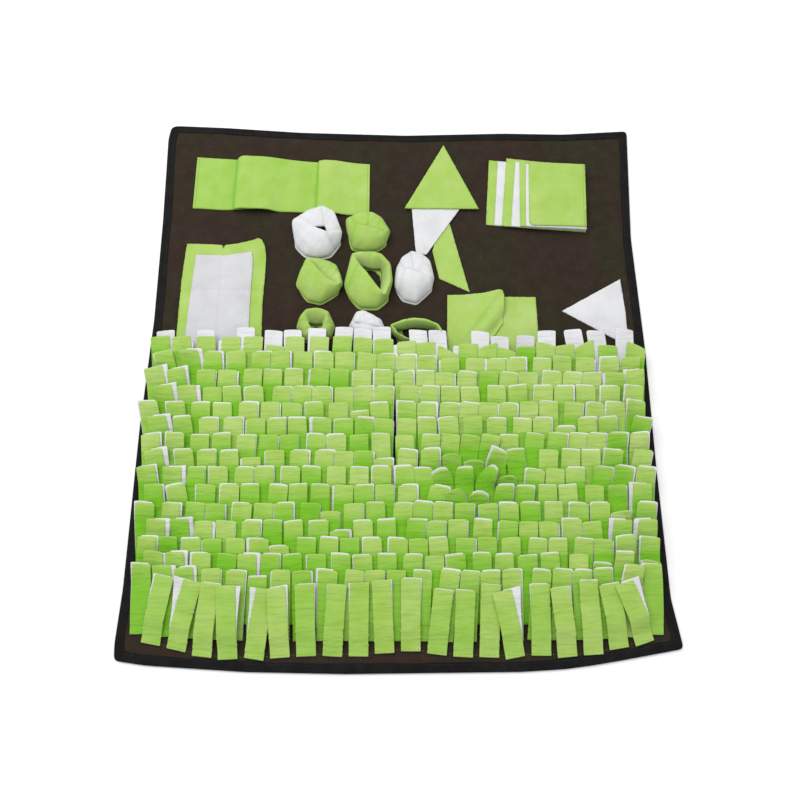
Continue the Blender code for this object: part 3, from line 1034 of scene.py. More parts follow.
# How single strips stray by chance: the spread of a bell curve, or the least and the most.
ROW_SEED = 100
RIGHT_UNTIDINESS = 1.6      # the right half of the pile is less tidy by this
LEAN_SPREAD = 0.0028
LENGTH_STRAY = 0.0009
ROLL_SPREAD = 0.05
LIFT_SPREAD = 0.0006
CUP_RANGE = (-0.0004, 0.0011)
WAVE_RANGE = (0.0001, 0.0005)
SKEW_SPREAD = 0.035
ROUNDING_RANGE = (0.4, 2.0)
MOST_ARCH = 0.0011
TONE_SPREAD = 0.15
# Painted shade on the strips, least towards the back rows and away from the left edge:
FRONT_TONE = 0.17
ROW_TONE_GAIN = 0.023
INWARD_TONE_GAIN = 0.06
SECOND_ROW_TONE = 0.36
LEFT_SIDE_X = -0.34
SLIPS = (0.0002, 0.0019, 0.0026)
SLIP_VARIES = (0.7, 1.3)
FAR_SLIP_CHANCE = 0.12
FAR_SLIP = 1.9
WHITE_LONGER = (-0.0010, 0.0013, 0.0018)
WHITE_LONGER_STRAY = 0.0005
SHORT_CHANCE = 0.03
SHORTER = (0.007, 0.013)
# The outermost strips of a row lie looser than the others.
END_SIDE = 0.9              # further out than this, from 0 in the middle to 1 at the sides
END_LIFT = 0.0040
END_CUP = 0.0030
END_HOOK = (-0.0020, 0.0025)
END_ROLL = (-0.1, 0.45)
END_SLIPS = (-0.0020, 0.0030, 0.0075)
# Row 1 is placed, but wrinkled by chance.
# Row 1's strips are painted towards shade, by chance between these tones.
FIRST_TONE = (0.30, 0.50)
FIRST_WAVE = (0.0006, 0.0013)
FIRST_ROUNDING = (0.3, 1.0)
WRINKLE_COUNT = (5, 9)
WRINKLE_PLACE = (0.010, 0.066)
WRINKLE_SLANT = (-0.50, 0.50)
WRINKLE_HEIGHT = (0.0003, 0.0010)


def painted_shade_tone(strip):
    """Painted shade: strips are paler row by row towards the back, and away from the left edge; row
    2 is pale.
    """
    if strip.number == 2:
        return SECOND_ROW_TONE
    inwards = ease(np.array(strip.seam_x), LEFT_SIDE_X, 0.0)
    return FRONT_TONE + ROW_TONE_GAIN * strip.number + INWARD_TONE_GAIN * inwards


def stray(strip, chance):
    """Give a strip the small differences that cutting, sewing and use leave."""
    untidy = RIGHT_UNTIDINESS if strip.seam_x > 0 else 1.0
    strip.lean = chance.gauss(0.0, LEAN_SPREAD) * untidy
    strip.length = STRIP_LENGTH + chance.uniform(-LENGTH_STRAY, LENGTH_STRAY) * untidy
    strip.roll = chance.gauss(0.0, ROLL_SPREAD) * untidy
    strip.lift = abs(chance.gauss(0.0, LIFT_SPREAD)) * untidy
    strip.cup = chance.uniform(*CUP_RANGE)
    strip.wave = chance.uniform(*WAVE_RANGE)
    strip.phase = chance.uniform(0.0, math.tau)
    strip.skew = chance.gauss(0.0, SKEW_SPREAD)
    strip.white_skew = strip.skew
    strip.rounding = chance.uniform(*ROUNDING_RANGE)
    strip.arch = chance.uniform(0.0, MOST_ARCH)
    strip.tone = float(min(1.0, max(0.0, chance.gauss(painted_shade_tone(strip), TONE_SPREAD))))
    strip.slip = chance.choice((-1, 1)) * chance.choice(SLIPS)
    strip.slip *= chance.uniform(*SLIP_VARIES)
    if chance.random() < FAR_SLIP_CHANCE:
        strip.slip *= FAR_SLIP
    strip.longer = chance.choice(WHITE_LONGER)
    strip.longer += chance.uniform(-WHITE_LONGER_STRAY, WHITE_LONGER_STRAY)
    if chance.random() < SHORT_CHANCE:
        strip.length -= chance.uniform(*SHORTER)


def loosen_end(strip, side, chance):
    """Let the outermost strips of a row lift, curl and twist more than the others."""
    strip.lift += chance.uniform(0.0, END_LIFT)
    strip.cup += chance.uniform(0.0, END_CUP)
    strip.hook += side * chance.uniform(*END_HOOK)
    strip.roll += side * chance.uniform(*END_ROLL)
    strip.slip = -side * chance.choice(END_SLIPS)


def ruffle(strip, chance):
    """Roll and twist a strip whose tip lies in the ruffled patch, and paint shade on it."""
    tip_y = float(seam_y(strip.number, np.array(strip.seam_x))) + STRIP_LENGTH
    reach = math.hypot((strip.seam_x - RUFFLE_X) / RUFFLE_HALF_X, (tip_y - RUFFLE_Y) / RUFFLE_HALF_Y)
    ruffled = 1.0 - reach ** 2
    if ruffled > 0:
        strip.roll += ruffled * chance.choice((-1, 1)) * chance.uniform(*RUFFLE_ROLL)
        for what, least, most in RUFFLE_STRAYS:
            setattr(strip, what, getattr(strip, what) + ruffled * chance.uniform(least, most))
        strip.tone = max(0.0, min(strip.tone, RUFFLE_TONE) - RUFFLE_PAINTED_SHADE * ruffled)


def place_first(strip, placed, chance):
    """Lay a strip of row 1 in its own place, with fine wrinkles across it."""
    strip.lean, strip.slip, strip.longer, strip.back, stretched = placed
    strip.length = STRIP_LENGTH + stretched
    strip.tone = chance.uniform(*FIRST_TONE)
    strip.wave = chance.uniform(*FIRST_WAVE)
    strip.rounding = chance.uniform(*FIRST_ROUNDING)
    strip.arch = 0.0
    strip.wrinkles = [
        (chance.uniform(*WRINKLE_PLACE), chance.uniform(*WRINKLE_SLANT),
         chance.uniform(*WRINKLE_HEIGHT)) for _ in range(chance.randint(*WRINKLE_COUNT))]


def toss_last(strips):
    """Row 16 lies smooth over its hidden white strips, but tossed about right of the parting."""
    for strip in strips:
        strip.longer = HIDDEN_WHITE
        strip.roll = strip.lift = strip.cup = strip.wave = 0.0
    for index, lean, longer, skew, tone in TOSSED_GREENS:
        strip = strips[index]
        strip.lean = lean
        strip.length = STRIP_LENGTH + longer
        strip.skew = skew
        strip.tone = tone


def part_greens(strips, width):
    """Keep the green strips of a row from crossing, or in row 1 lay one on the other."""
    for before, strip in zip(strips, strips[1:]):
        room = strip.seam_x - before.seam_x - width - STRIP_GAP
        if strip.number > 1:
            strip.lean = max(strip.lean, before.lean - room)
        elif strip.lean < before.lean - room:
            strip.lift = before.lift + PAIR_RISE


def reach_out(strips):
    """Draw the long white strips of row 16 out from the nearest green ones, one from each."""
    for long_left, long_right, long_tip in LONG_WHITES:
        middle = (long_left + long_right) / 2
        unused = [strip for strip in strips if strip.longer == HIDDEN_WHITE]
        nearest = min(unused, key=lambda one: abs(one.seam_x + one.lean - middle))
        seam = float(seam_y(nearest.number, np.array(nearest.seam_x)))
        nearest.slip = middle - nearest.seam_x - nearest.lean
        nearest.longer = long_tip - seam - nearest.length


def part_whites(strips, width):
    """Keep the white strips of a row from crossing: those that show first, then the hidden."""
    shown = [strip for strip in strips if strip.longer != HIDDEN_WHITE]
    for before, strip in zip(shown, shown[1:]):
        strip.slip = max(strip.slip, before.slip - white_room(before, strip, width))
    white_width = width - WHITE_NARROWER
    neighbours = list(zip(strips, strips[1:]))
    for before, strip in neighbours:
        if strip not in shown:
            strip.slip = max(strip.slip, before.slip - white_room(before, strip, white_width))
    for strip, after in reversed(neighbours):
        if strip not in shown:
            strip.slip = min(strip.slip, after.slip + white_room(strip, after, white_width))
    for before, strip in neighbours:
        crowding = before.slip - strip.slip - white_room(before, strip, white_width)
        if strip not in shown and crowding > 0:
            strip.white_width -= crowding
            strip.slip += crowding / 2


def lay_row(number):
    """The strips of a row from left to right, as sewing and use have left them."""
    chance = random.Random(ROW_SEED + number)
    count, left_x, right_x, splay_left, splay_right = row_plan(number)
    width = strip_width(number)
    pitch = (right_x - left_x - width) / (count - 1)
    regular = [left_x + width / 2 + pitch * index for index in range(count)]
    places = parted_x(number, regular) if number > 1 else regular
    spread = LEAST_SPLAY + (1 - LEAST_SPLAY) * float(ease(np.array(number), *SPLAYED_ROWS))
    strips = []
    for index, seam_x in enumerate(places):
        strip = Strip(number, seam_x)
        side = 2 * index / (count - 1) - 1
        stray(strip, chance)
        strip.lean += side ** SPLAY_POWER * (splay_left * spread if side < 0 else splay_right)
        if abs(side) > END_SIDE and 1 < number < ROW_COUNT:
            loosen_end(strip, side, chance)
        ruffle(strip, chance)
        if number == 1:
            place_first(strip, FIRST_ROW[index], chance)
        strips.append(strip)
    if number == ROW_COUNT:
        toss_last(strips)
    part_greens(strips, width)
    if number == ROW_COUNT:
        reach_out(strips)
    part_whites(strips, width)
    return strips


STRIP_DEPTHS = HIDDEN_DEPTHS + FREE_DEPTHS
FIRST_ROW_STEPS = 64        # row 1 is open to view, so it is gridded finely
FIRST_ROW_DEPTHS = [STRIP_LENGTH * step / FIRST_ROW_STEPS for step in range(FIRST_ROW_STEPS + 1)]
strip_rows = {number: lay_row(number) for number in range(1, ROW_COUNT + 1)}
for number, strips in strip_rows.items():
    depths = FIRST_ROW_DEPTHS if number == 1 else STRIP_DEPTHS
    node = "strip_row_{:02d}".format(number)
    strips_piece(node + "_white", strips, True, depths, white_strip_felt, node)
    strips_piece(node + "_green", strips, False, depths, green_strip_felt, node)

ROW_THREAD = (0.1500, 0.1650, 0.0500, 1.0)
ROW_STITCH_DEPTH = 0.0028
ROW_STITCH_PITCH = 0.0040
ROW_STITCH_STEP = 0.0020
row_thread = thread_material("green_thread", ROW_THREAD)
row_lines = []
for number, strips in strip_rows.items():
    seam_places = [strip.seam_x for strip in strips]
    half_width = strip_width(number) / 2
    line_x = np.arange(seam_places[0] - half_width + ROW_STITCH_STEP,
                       seam_places[-1] + half_width - ROW_STITCH_STEP, ROW_STITCH_STEP)
    back = np.interp(line_x, seam_places, [strip.back for strip in strips])
    on_strip = np.zeros(len(line_x))
    for strip in strips:
        on_strip = np.maximum(on_strip, np.abs(line_x - strip.seam_x) < strip.width / 2)
    line_z = FELT_FLOOR + on_strip * (GREEN_LIFT + STRIP_FELT) - (1 - on_strip) * CLEAR
    line_y = seam_y(number, line_x) + back + ROW_STITCH_DEPTH
    row_lines.append(sewn_line(np.column_stack((line_x, line_y, line_z + THREAD_BED)),
                               ROW_STITCH_PITCH))
sewing("strip_rows_sewing", row_lines, row_thread)


# ---------------------------------------------------------------- pleated band
# One green felt strip sewn down at its ends and between its two pleats. At each pleat it runs
# under, turns back, turns again at the fold that shows, and humps up to hold treats.

SHEET_FELT = 0.0014
BAND_LEFT_X = -0.3030
BAND_RIGHT_X = -0.0430
BAND_TOP_Y = 0.3490
BAND_BOTTOM_Y = 0.2590
BAND_FALL = 0.045
BAND_FLAT = 0.0400          # sewn flat at its left end
BAND_TOP_WAVE = (0.0007, 55.0, 0.0)     # size, radians a metre and phase along its cut edges
BAND_BOTTOM_WAVE = (0.0008, 43.0, 2.0)
BAND_END_SEAM = 0.0035
BAND_LAYER = 0.0020
BAND_LINE_STEP = 0.0014
BAND_CROSS_STEPS = 30
BAND_CREASE = 0.0022        # half the width of the shade along a fold
BAND_TUCK = 0.0050          # the turned-under layers stop short of the band's front edge
BAND_TOP_TUCK = 0.0020      # and of its back edge
FOLD_SLANT = 0.0025         # a fold's front end lies this far left of its back end
FOLD_SWAY = (0.0008, 7.0)   # and it sways on the way
HALF_TURN_STEPS = 8
HUMP_STARTS = 0.15          # share of the band's width from which its humps change height
HUMP_RUN_OUT = 0.0060
# Painted shade on the band, lifted from its second pleat on; painted shade along each fold and on
# the turned-under layers:
BAND_TONE = 0.40
BAND_PALER_X = (-0.135, -0.115)
BAND_TONE_GAIN = 0.14       # and how much paler the band is right of there
BAND_FOLD_PAINTED_SHADE = 0.85
BAND_SHADE_LEFT = 0.0015    # the shade lies this far left of its fold
PLEATS = [
    # hidden_x  fold_x     then x, height at the back edge, height at the front edge
    (-0.2140, -0.2400, [(-0.2360, 0.0118, 0.0112), (-0.2160, 0.0128, 0.0124),
                        (-0.1900, 0.0112, 0.0102), (-0.1815, 0.0100, 0.0062),
                        (-0.1750, 0.0090, 0.0042), (-0.1550, 0.0068, 0.0041),
                        (-0.1320, 0.0046, 0.0040)]),
    (-0.0930, -0.1190, [(-0.1140, 0.0096, 0.0081), (-0.1010, 0.0098, 0.0082),
                        (-0.0900, 0.0084, 0.0080), (-0.0820, 0.0066, 0.0058),
                        (-0.0700, 0.0048, 0.0042), (-0.0600, 0.0041, 0.0040)]),
]

plain_green_felt = felt("green_felt_cloth", FELT_GREEN_DEEP, FELT_GREEN, FELT_GREEN_PALE,
                        GREEN_SHADED, GREEN_LIT, False)
plain_white_felt = felt("white_felt_cloth", FELT_WHITE_DEEP, FELT_WHITE, FELT_WHITE_PALE,
                        WHITE_SHADED, WHITE_LIT, False)
PLAIN_FELTS = {"green": (plain_green_felt, "green_felt"), "white": (plain_white_felt, "white_felt")}


def felt_of(node):
    """The felt and the slot of a piece, from the colour at the end of its name."""
    return PLAIN_FELTS[node.split("_")[-1]]


def half_turn(x, low_z, side):
    """Points of a fold that turns the cloth back on itself, one layer higher."""
    radius = BAND_LAYER / 2
    return [(x + side * radius * math.sin(angle), low_z + radius * (1 - math.cos(angle)), 1.0)
            for angle in np.linspace(0.0, math.pi, HALF_TURN_STEPS + 1)]


def smooth_path(points, step):
    """Evenly spaced points on a smooth line through the given ones."""
    points = np.array(points, dtype=float)
    steps = np.linalg.norm(np.diff(points[:, :2], axis=0), axis=1)
    knots = np.concatenate(([0.0], np.cumsum(steps)))
    slopes = np.gradient(points, knots, axis=0)
    slopes[:, 2:] = 0.0
    wanted = np.linspace(0.0, knots[-1], max(3, round(knots[-1] / step)))
    piece = np.clip(np.searchsorted(knots, wanted, side="right") - 1, 0, len(knots) - 2)
    width = knots[piece + 1] - knots[piece]
    share = ((wanted - knots[piece]) / width)[:, None]
    first, last = points[piece], points[piece + 1]
    start, end = slopes[piece] * width[:, None], slopes[piece + 1] * width[:, None]
    square, cube = share ** 2, share ** 3
    return ((2 * cube - 3 * square + 1) * first + (cube - 2 * square + share) * start
            + (3 * square - 2 * cube) * last + (cube - square) * end)


def felt_from_grid(name, middle, thickness, material, closed=False, tones=None):
    """Closed felt around a grid of middle points; the second axis may run in a ring."""
    if closed:
        wrapped = np.concatenate((middle[:, -1:], middle, middle[:, :1]), axis=1)
        normals = surface_normals(wrapped)[:, 1:-1]
    else:
        normals = surface_normals(middle)
    verts = np.stack((middle + normals * thickness / 2, middle - normals * thickness / 2))
    rows, columns = middle.shape[:2]
    faces, flat_from = felt_faces(rows, columns, closed)
    smooth = [index < flat_from for index in range(len(faces))]
    piece = mesh_piece(name, verts.reshape(-1, 3).tolist(), faces, smooth, material)
    turn_outwards(piece.data)
    if tones is None:
        tones = np.full((rows, columns), EVEN_TONE)
    set_tones(piece.data, np.tile(tones.reshape(-1), 2).tolist())
    return piece


def cut_wave(x, size, wave, phase):
    """Small waves along an edge that scissors cut."""
    return size * np.sin(wave * x + phase)


low_z = FELT_FLOOR + SHEET_FELT / 2
sway, sway_turn = FOLD_SWAY
shares = np.linspace(0.0, 1.0, BAND_CROSS_STEPS + 1)
band_rows = []
for share in shares:
    line = [(BAND_LEFT_X, low_z, 0.0), (BAND_LEFT_X + BAND_FLAT, low_z, 0.0)]
    bend = float(ease(np.array(share), HUMP_STARTS, 1.0))
    for hidden_x, fold_x, hump in PLEATS:
        fold = fold_x - FOLD_SLANT * share + sway * math.sin(sway_turn * share)
        line += half_turn(hidden_x, low_z, side=1)
        turned = half_turn(fold, low_z + BAND_LAYER, side=-1)
        line += [(x, z, 1 - step / HALF_TURN_STEPS) for step, (x, z, _) in enumerate(turned)]
        line += [(x, back_z + (front_z - back_z) * bend, 0.0) for x, back_z, front_z in hump]
        line.append((hump[-1][0] + HUMP_RUN_OUT, low_z, 0.0))
    line.append((BAND_RIGHT_X, low_z, 0.0))
    path = smooth_path(line, BAND_LINE_STEP)
    path[:, 1] = np.maximum(path[:, 1], low_z)
    band_rows.append(path)
shortest = min(len(path) for path in band_rows)
band_grid = []
band_tones = []
for share, path in zip(shares, band_rows):
    pick = np.linspace(0, len(path) - 1, shortest)
    x, z, tuck = (np.interp(pick, np.arange(len(path)), path[:, axis]) for axis in range(3))
    tuck = np.clip(tuck, 0.0, 1.0)
    fall = BAND_FALL * (x - BAND_LEFT_X)
    top_y = BAND_TOP_Y - fall + cut_wave(x, *BAND_TOP_WAVE) - BAND_TOP_TUCK * tuck
    bottom_y = BAND_BOTTOM_Y - fall + cut_wave(x, *BAND_BOTTOM_WAVE) + BAND_TUCK * tuck
    band_grid.append(np.column_stack((x, top_y + (bottom_y - top_y) * share, z)))
    # Painted shade and light along the band, in its folds and on its turned-under layers.
    plain = BAND_TONE + BAND_TONE_GAIN * ease(x, *BAND_PALER_X)
    for _, fold_x, _ in PLEATS:
        away = (x - fold_x + BAND_SHADE_LEFT) / BAND_CREASE
        plain = plain * (1 - BAND_FOLD_PAINTED_SHADE * np.exp(-away ** 2))
    band_tones.append(plain * (1 - tuck))
band = felt_from_grid("pleated_band_felt", np.array(band_grid), SHEET_FELT, plain_green_felt,
                      tones=np.array(band_tones))
stand_for(band, "pleated_band_green")

band_lines = []
sewn_z = FELT_FLOOR + SHEET_FELT + THREAD_BED
for sewn_x in (BAND_LEFT_X + BAND_END_SEAM, BAND_RIGHT_X - BAND_END_SEAM):
    fall = BAND_FALL * (sewn_x - BAND_LEFT_X)
    band_lines.append(sewn_line([(sewn_x, BAND_TOP_Y - fall - ROW_STITCH_STEP, sewn_z),
                                 (sewn_x, BAND_BOTTOM_Y - fall + ROW_STITCH_STEP, sewn_z)],
                                ROW_STITCH_PITCH))
sewing("pleated_band_sewing", band_lines, row_thread)


# ---------------------------------------------------------------- pocket
# A green felt back with a smaller white felt front on it, sewn at the sides and foot. The
# open top is tacked down in its middle with a thread, and its right corner rolls over.

LAYER_STEP = 0.0018
FELT_CELL = 0.0032
POCKET_BACK = [
    # x       y
    (-0.3060, 0.1990), (-0.3075, 0.1700), (-0.3090, 0.1350), (-0.3088, 0.0700), (-0.3080, 0.0070),
    (-0.1900, 0.0070), (-0.1905, 0.0560), (-0.1918, 0.1040), (-0.1905, 0.1500), (-0.1905, 0.1800),
    (-0.1925, 0.1920), (-0.1970, 0.2010), (-0.2030, 0.2055), (-0.2150, 0.2030), (-0.2320, 0.1985),
    (-0.2500, 0.1958), (-0.2530, 0.1935), (-0.2560, 0.1960), (-0.2800, 0.1975),
]
POCKET_FRONT = [
    # x       y
    (-0.2910, 0.1790), (-0.2935, 0.1240), (-0.2955, 0.0700), (-0.2975, 0.0150), (-0.2070, 0.0150),
    (-0.2085, 0.0640), (-0.2092, 0.1190), (-0.2082, 0.1650), (-0.2106, 0.1838), (-0.2300, 0.1812),
    (-0.2510, 0.1778), (-0.2700, 0.1782),
]
POCKET_SEAM = [
    # x       y             where the front is sewn to the back
    (-0.2906, 0.176), (-0.2908, 0.018), (-0.2098, 0.018), (-0.2116, 0.119), (-0.2110, 0.181),
]
POCKET_SEAM_POINTS = 24     # along each of its runs
POCKET_FRONT_TONE = 0.12
POCKET_FRONT_CELL = 0.0020
POCKET_SLACK = 0.0004
POCKET_LIFT = 0.0006        # keeps the creases clear of the base
POCKET_CREASE_X = -0.2520
POCKET_CREASE_Y = 0.1210
POCKET_CREASE = 0.0010
POCKET_CREASE_HALF = 0.0022
POCKET_BELLY = 0.0012       # it stands open a little between its seams
POCKET_BELLY_LEFT = (-0.306, -0.285)
POCKET_BELLY_RIGHT = (0.192, 0.215)     # measured leftwards
POCKET_BELLY_FRONT = (0.02, 0.09)
POCKET_CORNER = (-0.1960, 0.2000)
POCKET_CORNER_RISE = 0.0085
POCKET_CORNER_REACH = 0.0330
POCKET_CORNER_X = (-0.215, -0.192)
TACK = (-0.2530, 0.1925)
TACK_ANGLES = (0.3, 1.4, 2.5)           # three stitches crossing like a star, one on the other
TACK_ARM = 0.0022
TACK_RADIUS = 0.0005
TACK_LIFT = 0.0004
TACK_STEP = 0.0002
pocket_ripple = Ripple(seed=8, wavelength=0.060)


def finely(outline, step=0.003, wobble=0.00025, seed=0):
    """An outline with points set close along its straight runs, as scissors cut them."""
    chance = random.Random(seed)
    points = []
    for index, start in enumerate(outline):
        end = outline[(index + 1) % len(outline)]
        steps = max(1, round(math.dist(start, end) / step))
        for number in range(steps):
            stray_most = wobble if number else 0.0
            points.append(tuple(first + (last - first) * number / steps
                                + chance.uniform(-stray_most, stray_most)
                                for first, last in zip(start, end)))
    return points


def pocket_height(x, y):
    """Underside of the pocket: slack waves, pack creases and the rolled corner."""
    slack = POCKET_SLACK * (1 + pocket_ripple(x, y))
    crease = POCKET_CREASE * (np.exp(-((x - POCKET_CREASE_X) / POCKET_CREASE_HALF) ** 2)
                              + np.exp(-((y - POCKET_CREASE_Y) / POCKET_CREASE_HALF) ** 2))
    belly = (POCKET_BELLY * ease(x, *POCKET_BELLY_LEFT) * ease(-x, *POCKET_BELLY_RIGHT)
             * ease(y, *POCKET_BELLY_FRONT))
    away = np.hypot(x - POCKET_CORNER[0], y - POCKET_CORNER[1])
    roll = (POCKET_CORNER_RISE * (1 - ease(away, 0.0, POCKET_CORNER_REACH))
            * ease(x, *POCKET_CORNER_X))
    return FELT_FLOOR + slack + belly + POCKET_LIFT - crease + roll


CUT_EDGE_PAINTED_SHADE = 0.16       # painted shade: the cut edges are a little darker
UPRIGHT = 0.3               # a face whose normal rises less than this is a cut edge


def felt_piece(name, outline, height, material, seed, lift=0.0, cell=FELT_CELL, painted_shading=0.55):
    """Flat felt cut to an outline and laid at a height that is a function of place, painted evenly
    towards its shaded or its lit colour, with more painted shade on its cut edges.
    """
    piece = cloth_piece(name, finely(outline, seed=seed), lambda x, y: height(x, y) + lift,
                        lambda x, y: height(x, y) + lift + SHEET_FELT, cell, material)
    tones = np.full(len(piece.data.vertices), painted_shading)
    for face in piece.data.polygons:
        if abs(face.normal.z) < UPRIGHT:
            tones[list(face.vertices)] = painted_shading - CUT_EDGE_PAINTED_SHADE
    set_tones(piece.data, tones.tolist())
    return piece


pocket_back = felt_piece("pocket_back_felt", POCKET_BACK, pocket_height, plain_green_felt,
                         seed=11)
stand_for(pocket_back, "pocket_back_green")
# The white front is painted towards its shaded colour.
pocket_front = felt_piece("pocket_front_felt", POCKET_FRONT, pocket_height, plain_white_felt,
                          seed=12, lift=LAYER_STEP, cell=POCKET_FRONT_CELL,
                          painted_shading=POCKET_FRONT_TONE)
stand_for(pocket_front, "pocket_front_white")

white_thread = thread_material("white_thread", FELT_WHITE)
seam_runs = [np.linspace(start, end, POCKET_SEAM_POINTS, endpoint=False)
             for start, end in zip(POCKET_SEAM, POCKET_SEAM[1:])]
seam_x, seam_run_y = np.vstack(seam_runs).T
seam_z = pocket_height(seam_x, seam_run_y) + LAYER_STEP + SHEET_FELT + THREAD_BED
sewing("pocket_front_sewing",
       [sewn_line(np.column_stack((seam_x, seam_run_y, seam_z)), ROW_STITCH_PITCH)],
       white_thread)
tack_x, tack_y = TACK
tack_z = float(pocket_height(np.array([tack_x]), np.array([tack_y]))[0]) + SHEET_FELT + TACK_LIFT
tack_lines = []
for angle in TACK_ANGLES:
    ends = [(tack_x + side * TACK_ARM * math.cos(angle), tack_y + side * TACK_ARM * math.sin(angle),
             tack_z + TACK_STEP * angle) for side in (-1, 1)]
    tack_lines.append(sewn_line(ends, 2 * TACK_ARM, length=1.0, radius=TACK_RADIUS))
sewing("pocket_tack", tack_lines, row_thread)


# ---------------------------------------------------------------- felt cups
# Eight soft cups, each a ring of felt sewn to a flat felt rim on the base and folded in at the
# top, so that treats sit in it. Each was folded by hand: its side and its mouth are measured
# in millimetres from its middle, going round from the back left.

CUP_FELT = 0.0014
CUP_PLACES = {
    # node           x        y
    "cup_1_white": (-0.1170, 0.2110),
    "cup_2_green": (-0.0430, 0.2095),
    "cup_3_green": (-0.1110, 0.1290),
    "cup_4_green": (-0.0435, 0.1310),
    "cup_5_white": (0.0225, 0.1340),
    "cup_6_green": (-0.1150, 0.0620),
    "cup_7_white": (-0.0450, 0.0610),
    "cup_8_green": (0.0240, 0.0610),
}
CUP_FOLDS = {
    # side_x side_y side_z   mouth_x mouth_y mouth_z
    "cup_1_white": [
        (-38, 22, 12, -6, 5, 22), (-15, 37, 15, 3, 10, 15), (5, 44, 17, 10, 12, 14),
        (23, 35, 16, 12, 8, 15), (35, 3, 12, 15, -3, 19), (35, -13, 8, 13, -5, 24),
        (20, -35, 6, 7, -2, 25), (2, -40, 5, 2, 0, 25), (-18, -35, 6, -1, 2, 24),
        (-34, -18, 8, -4, 3, 24)],
    "cup_2_green": [
        (-33, 25, 14, -24, 14, 21), (-10, 35, 17, -9, 13, 22), (5, 34, 17, 4, 10, 22),
        (18, 26, 16, 14, 6, 21), (31, 5, 12, 26, 1, 19), (26, -14, 8, 20, 0, 21),
        (14, -23, 6, 10, 2, 24), (-4, -27, 5, -4, 6, 25), (-25, -21, 6, -16, 9, 24),
        (-32, 3, 9, -25, 12, 21)],
    "cup_3_green": [
        (-20, 37, 18, -17, 32, 24), (-3, 36, 19, -1, 30, 25), (14, 31, 19, 12, 25, 24),
        (23, 26, 17, 20, 19, 23), (29, 12, 15, 27, 8, 22), (32, 0, 12, 29, -7, 22),
        (27, -13, 8, 24, -6, 22), (2, -30, 5, 11, 1, 24), (-18, -25, 6, 0, 12, 25),
        (-35, -3, 10, -9, 24, 25), (-28, 19, 14, -14, 29, 25)],
    "cup_4_green": [
        (-23, 42, 18, -21, 37, 25), (-9, 45, 19, -7, 39, 25), (6, 46, 19, 5, 38, 20),
        (19, 42, 19, 17, 36, 25), (32, 27, 16, 30, 21, 25), (35, 2, 12, 32, -5, 23),
        (30, -26, 8, 24, -27, 22), (14, -40, 5, 10, -8, 24), (-12, -39, 6, -2, 9, 25),
        (-30, -19, 9, -12, 22, 25), (-33, -4, 12, -17, 30, 26)],
    "cup_5_white": [
        (-25, 19, 14, -20, 13, 18), (-17, 35, 16, -7, 15, 19), (-4, 44, 18, 1, 13, 18),
        (11, 40, 18, 6, 10, 18), (22, 30, 15, 12, 7, 19), (28, 4, 11, 22, 3, 19),
        (26, -12, 8, 16, 4, 22), (3, -35, 5, 4, 6, 25), (-17, -29, 6, -8, 11, 24),
        (-29, -10, 9, -20, 11, 20)],
    "cup_6_green": [
        (-13, 21, 20, -11, 17, 26), (3, 23, 21, 4, 19, 26), (18, 18, 20, 18, 13, 26),
        (27, -1, 11, 14, -2, 22), (24, -15, 8, 9, -7, 18), (1, -25, 5, 1, -9, 16),
        (-19, -20, 6, -5, -7, 18), (-27, -2, 10, -10, 0, 22), (-22, 12, 15, -15, 9, 25)],
    "cup_7_white": [
        (-24, 0, 11, -17, 3, 19), (-13, 20, 18, -8, 5, 22), (-4, 22, 19, -2, 4, 21),
        (8, 16, 18, 8, 1, 22), (21, 9, 15, 17, -1, 20), (26, -2, 11, 20, -4, 17),
        (17, -20, 6, 12, -4, 18), (0, -25, 5, 0, -1, 20), (-18, -18, 6, -12, 1, 18)],
    "cup_8_green": [
        (-35, -1, 18, -34, -4, 24), (-19, 6, 20, -18, 1, 25), (-2, 9, 20, -2, 4, 26),
        (15, 7, 20, 15, 2, 26), (31, -1, 19, 30, -4, 25), (38, -10, 13, 36, -14, 21),
        (33, -21, 7, 27, -22, 16), (7, -26, 5, 6, -23, 15), (-20, -23, 6, -11, -20, 16),
        (-34, -10, 11, -25, -14, 19)],
}
# Where the back of an open cup is folded in, its felt goes on down to here, by station.
CUP_COLLARS = {
    "cup_2_green": {0: (-21, 11, 19), 1: (-9, 7, 18), 2: (3, 4, 18), 3: (13, 1, 18)},
    "cup_3_green": {0: (-15, 29, 21), 1: (-9, 23, 18), 2: (-1, 12, 16), 3: (8, 3, 16),
                    4: (18, -4, 17), 5: (26, -7, 18)},
    "cup_4_green": {0: (-12, 28, 12), 1: (-6, 26, 8), 2: (6, 24, 6), 3: (18, 24, 6),
                    4: (20, 17, 6), 5: (19, 4, 6), 6: (18, -12, 9)},
    "cup_5_white": {0: (-17, 11, 16), 1: (-8, 9, 15), 2: (-2, 8, 15), 3: (4, 5, 15),
                    4: (12, 4, 17)},
    "cup_6_green": {0: (-7, 6, 6), 1: (1, 5, 5), 2: (9, 6, 6), 3: (11, 1, 12), 8: (-8, 6, 12)},
    "cup_7_white": {1: (-9, 2, 18), 2: (-3, 0, 18), 3: (6, -2, 18), 4: (14, -4, 17)},
    "cup_8_green": {0: (-28, -3, 11), 1: (-18, -2, 6), 2: (-4, 1, 5), 3: (13, 0, 5),
                    4: (27, -3, 9)},
}
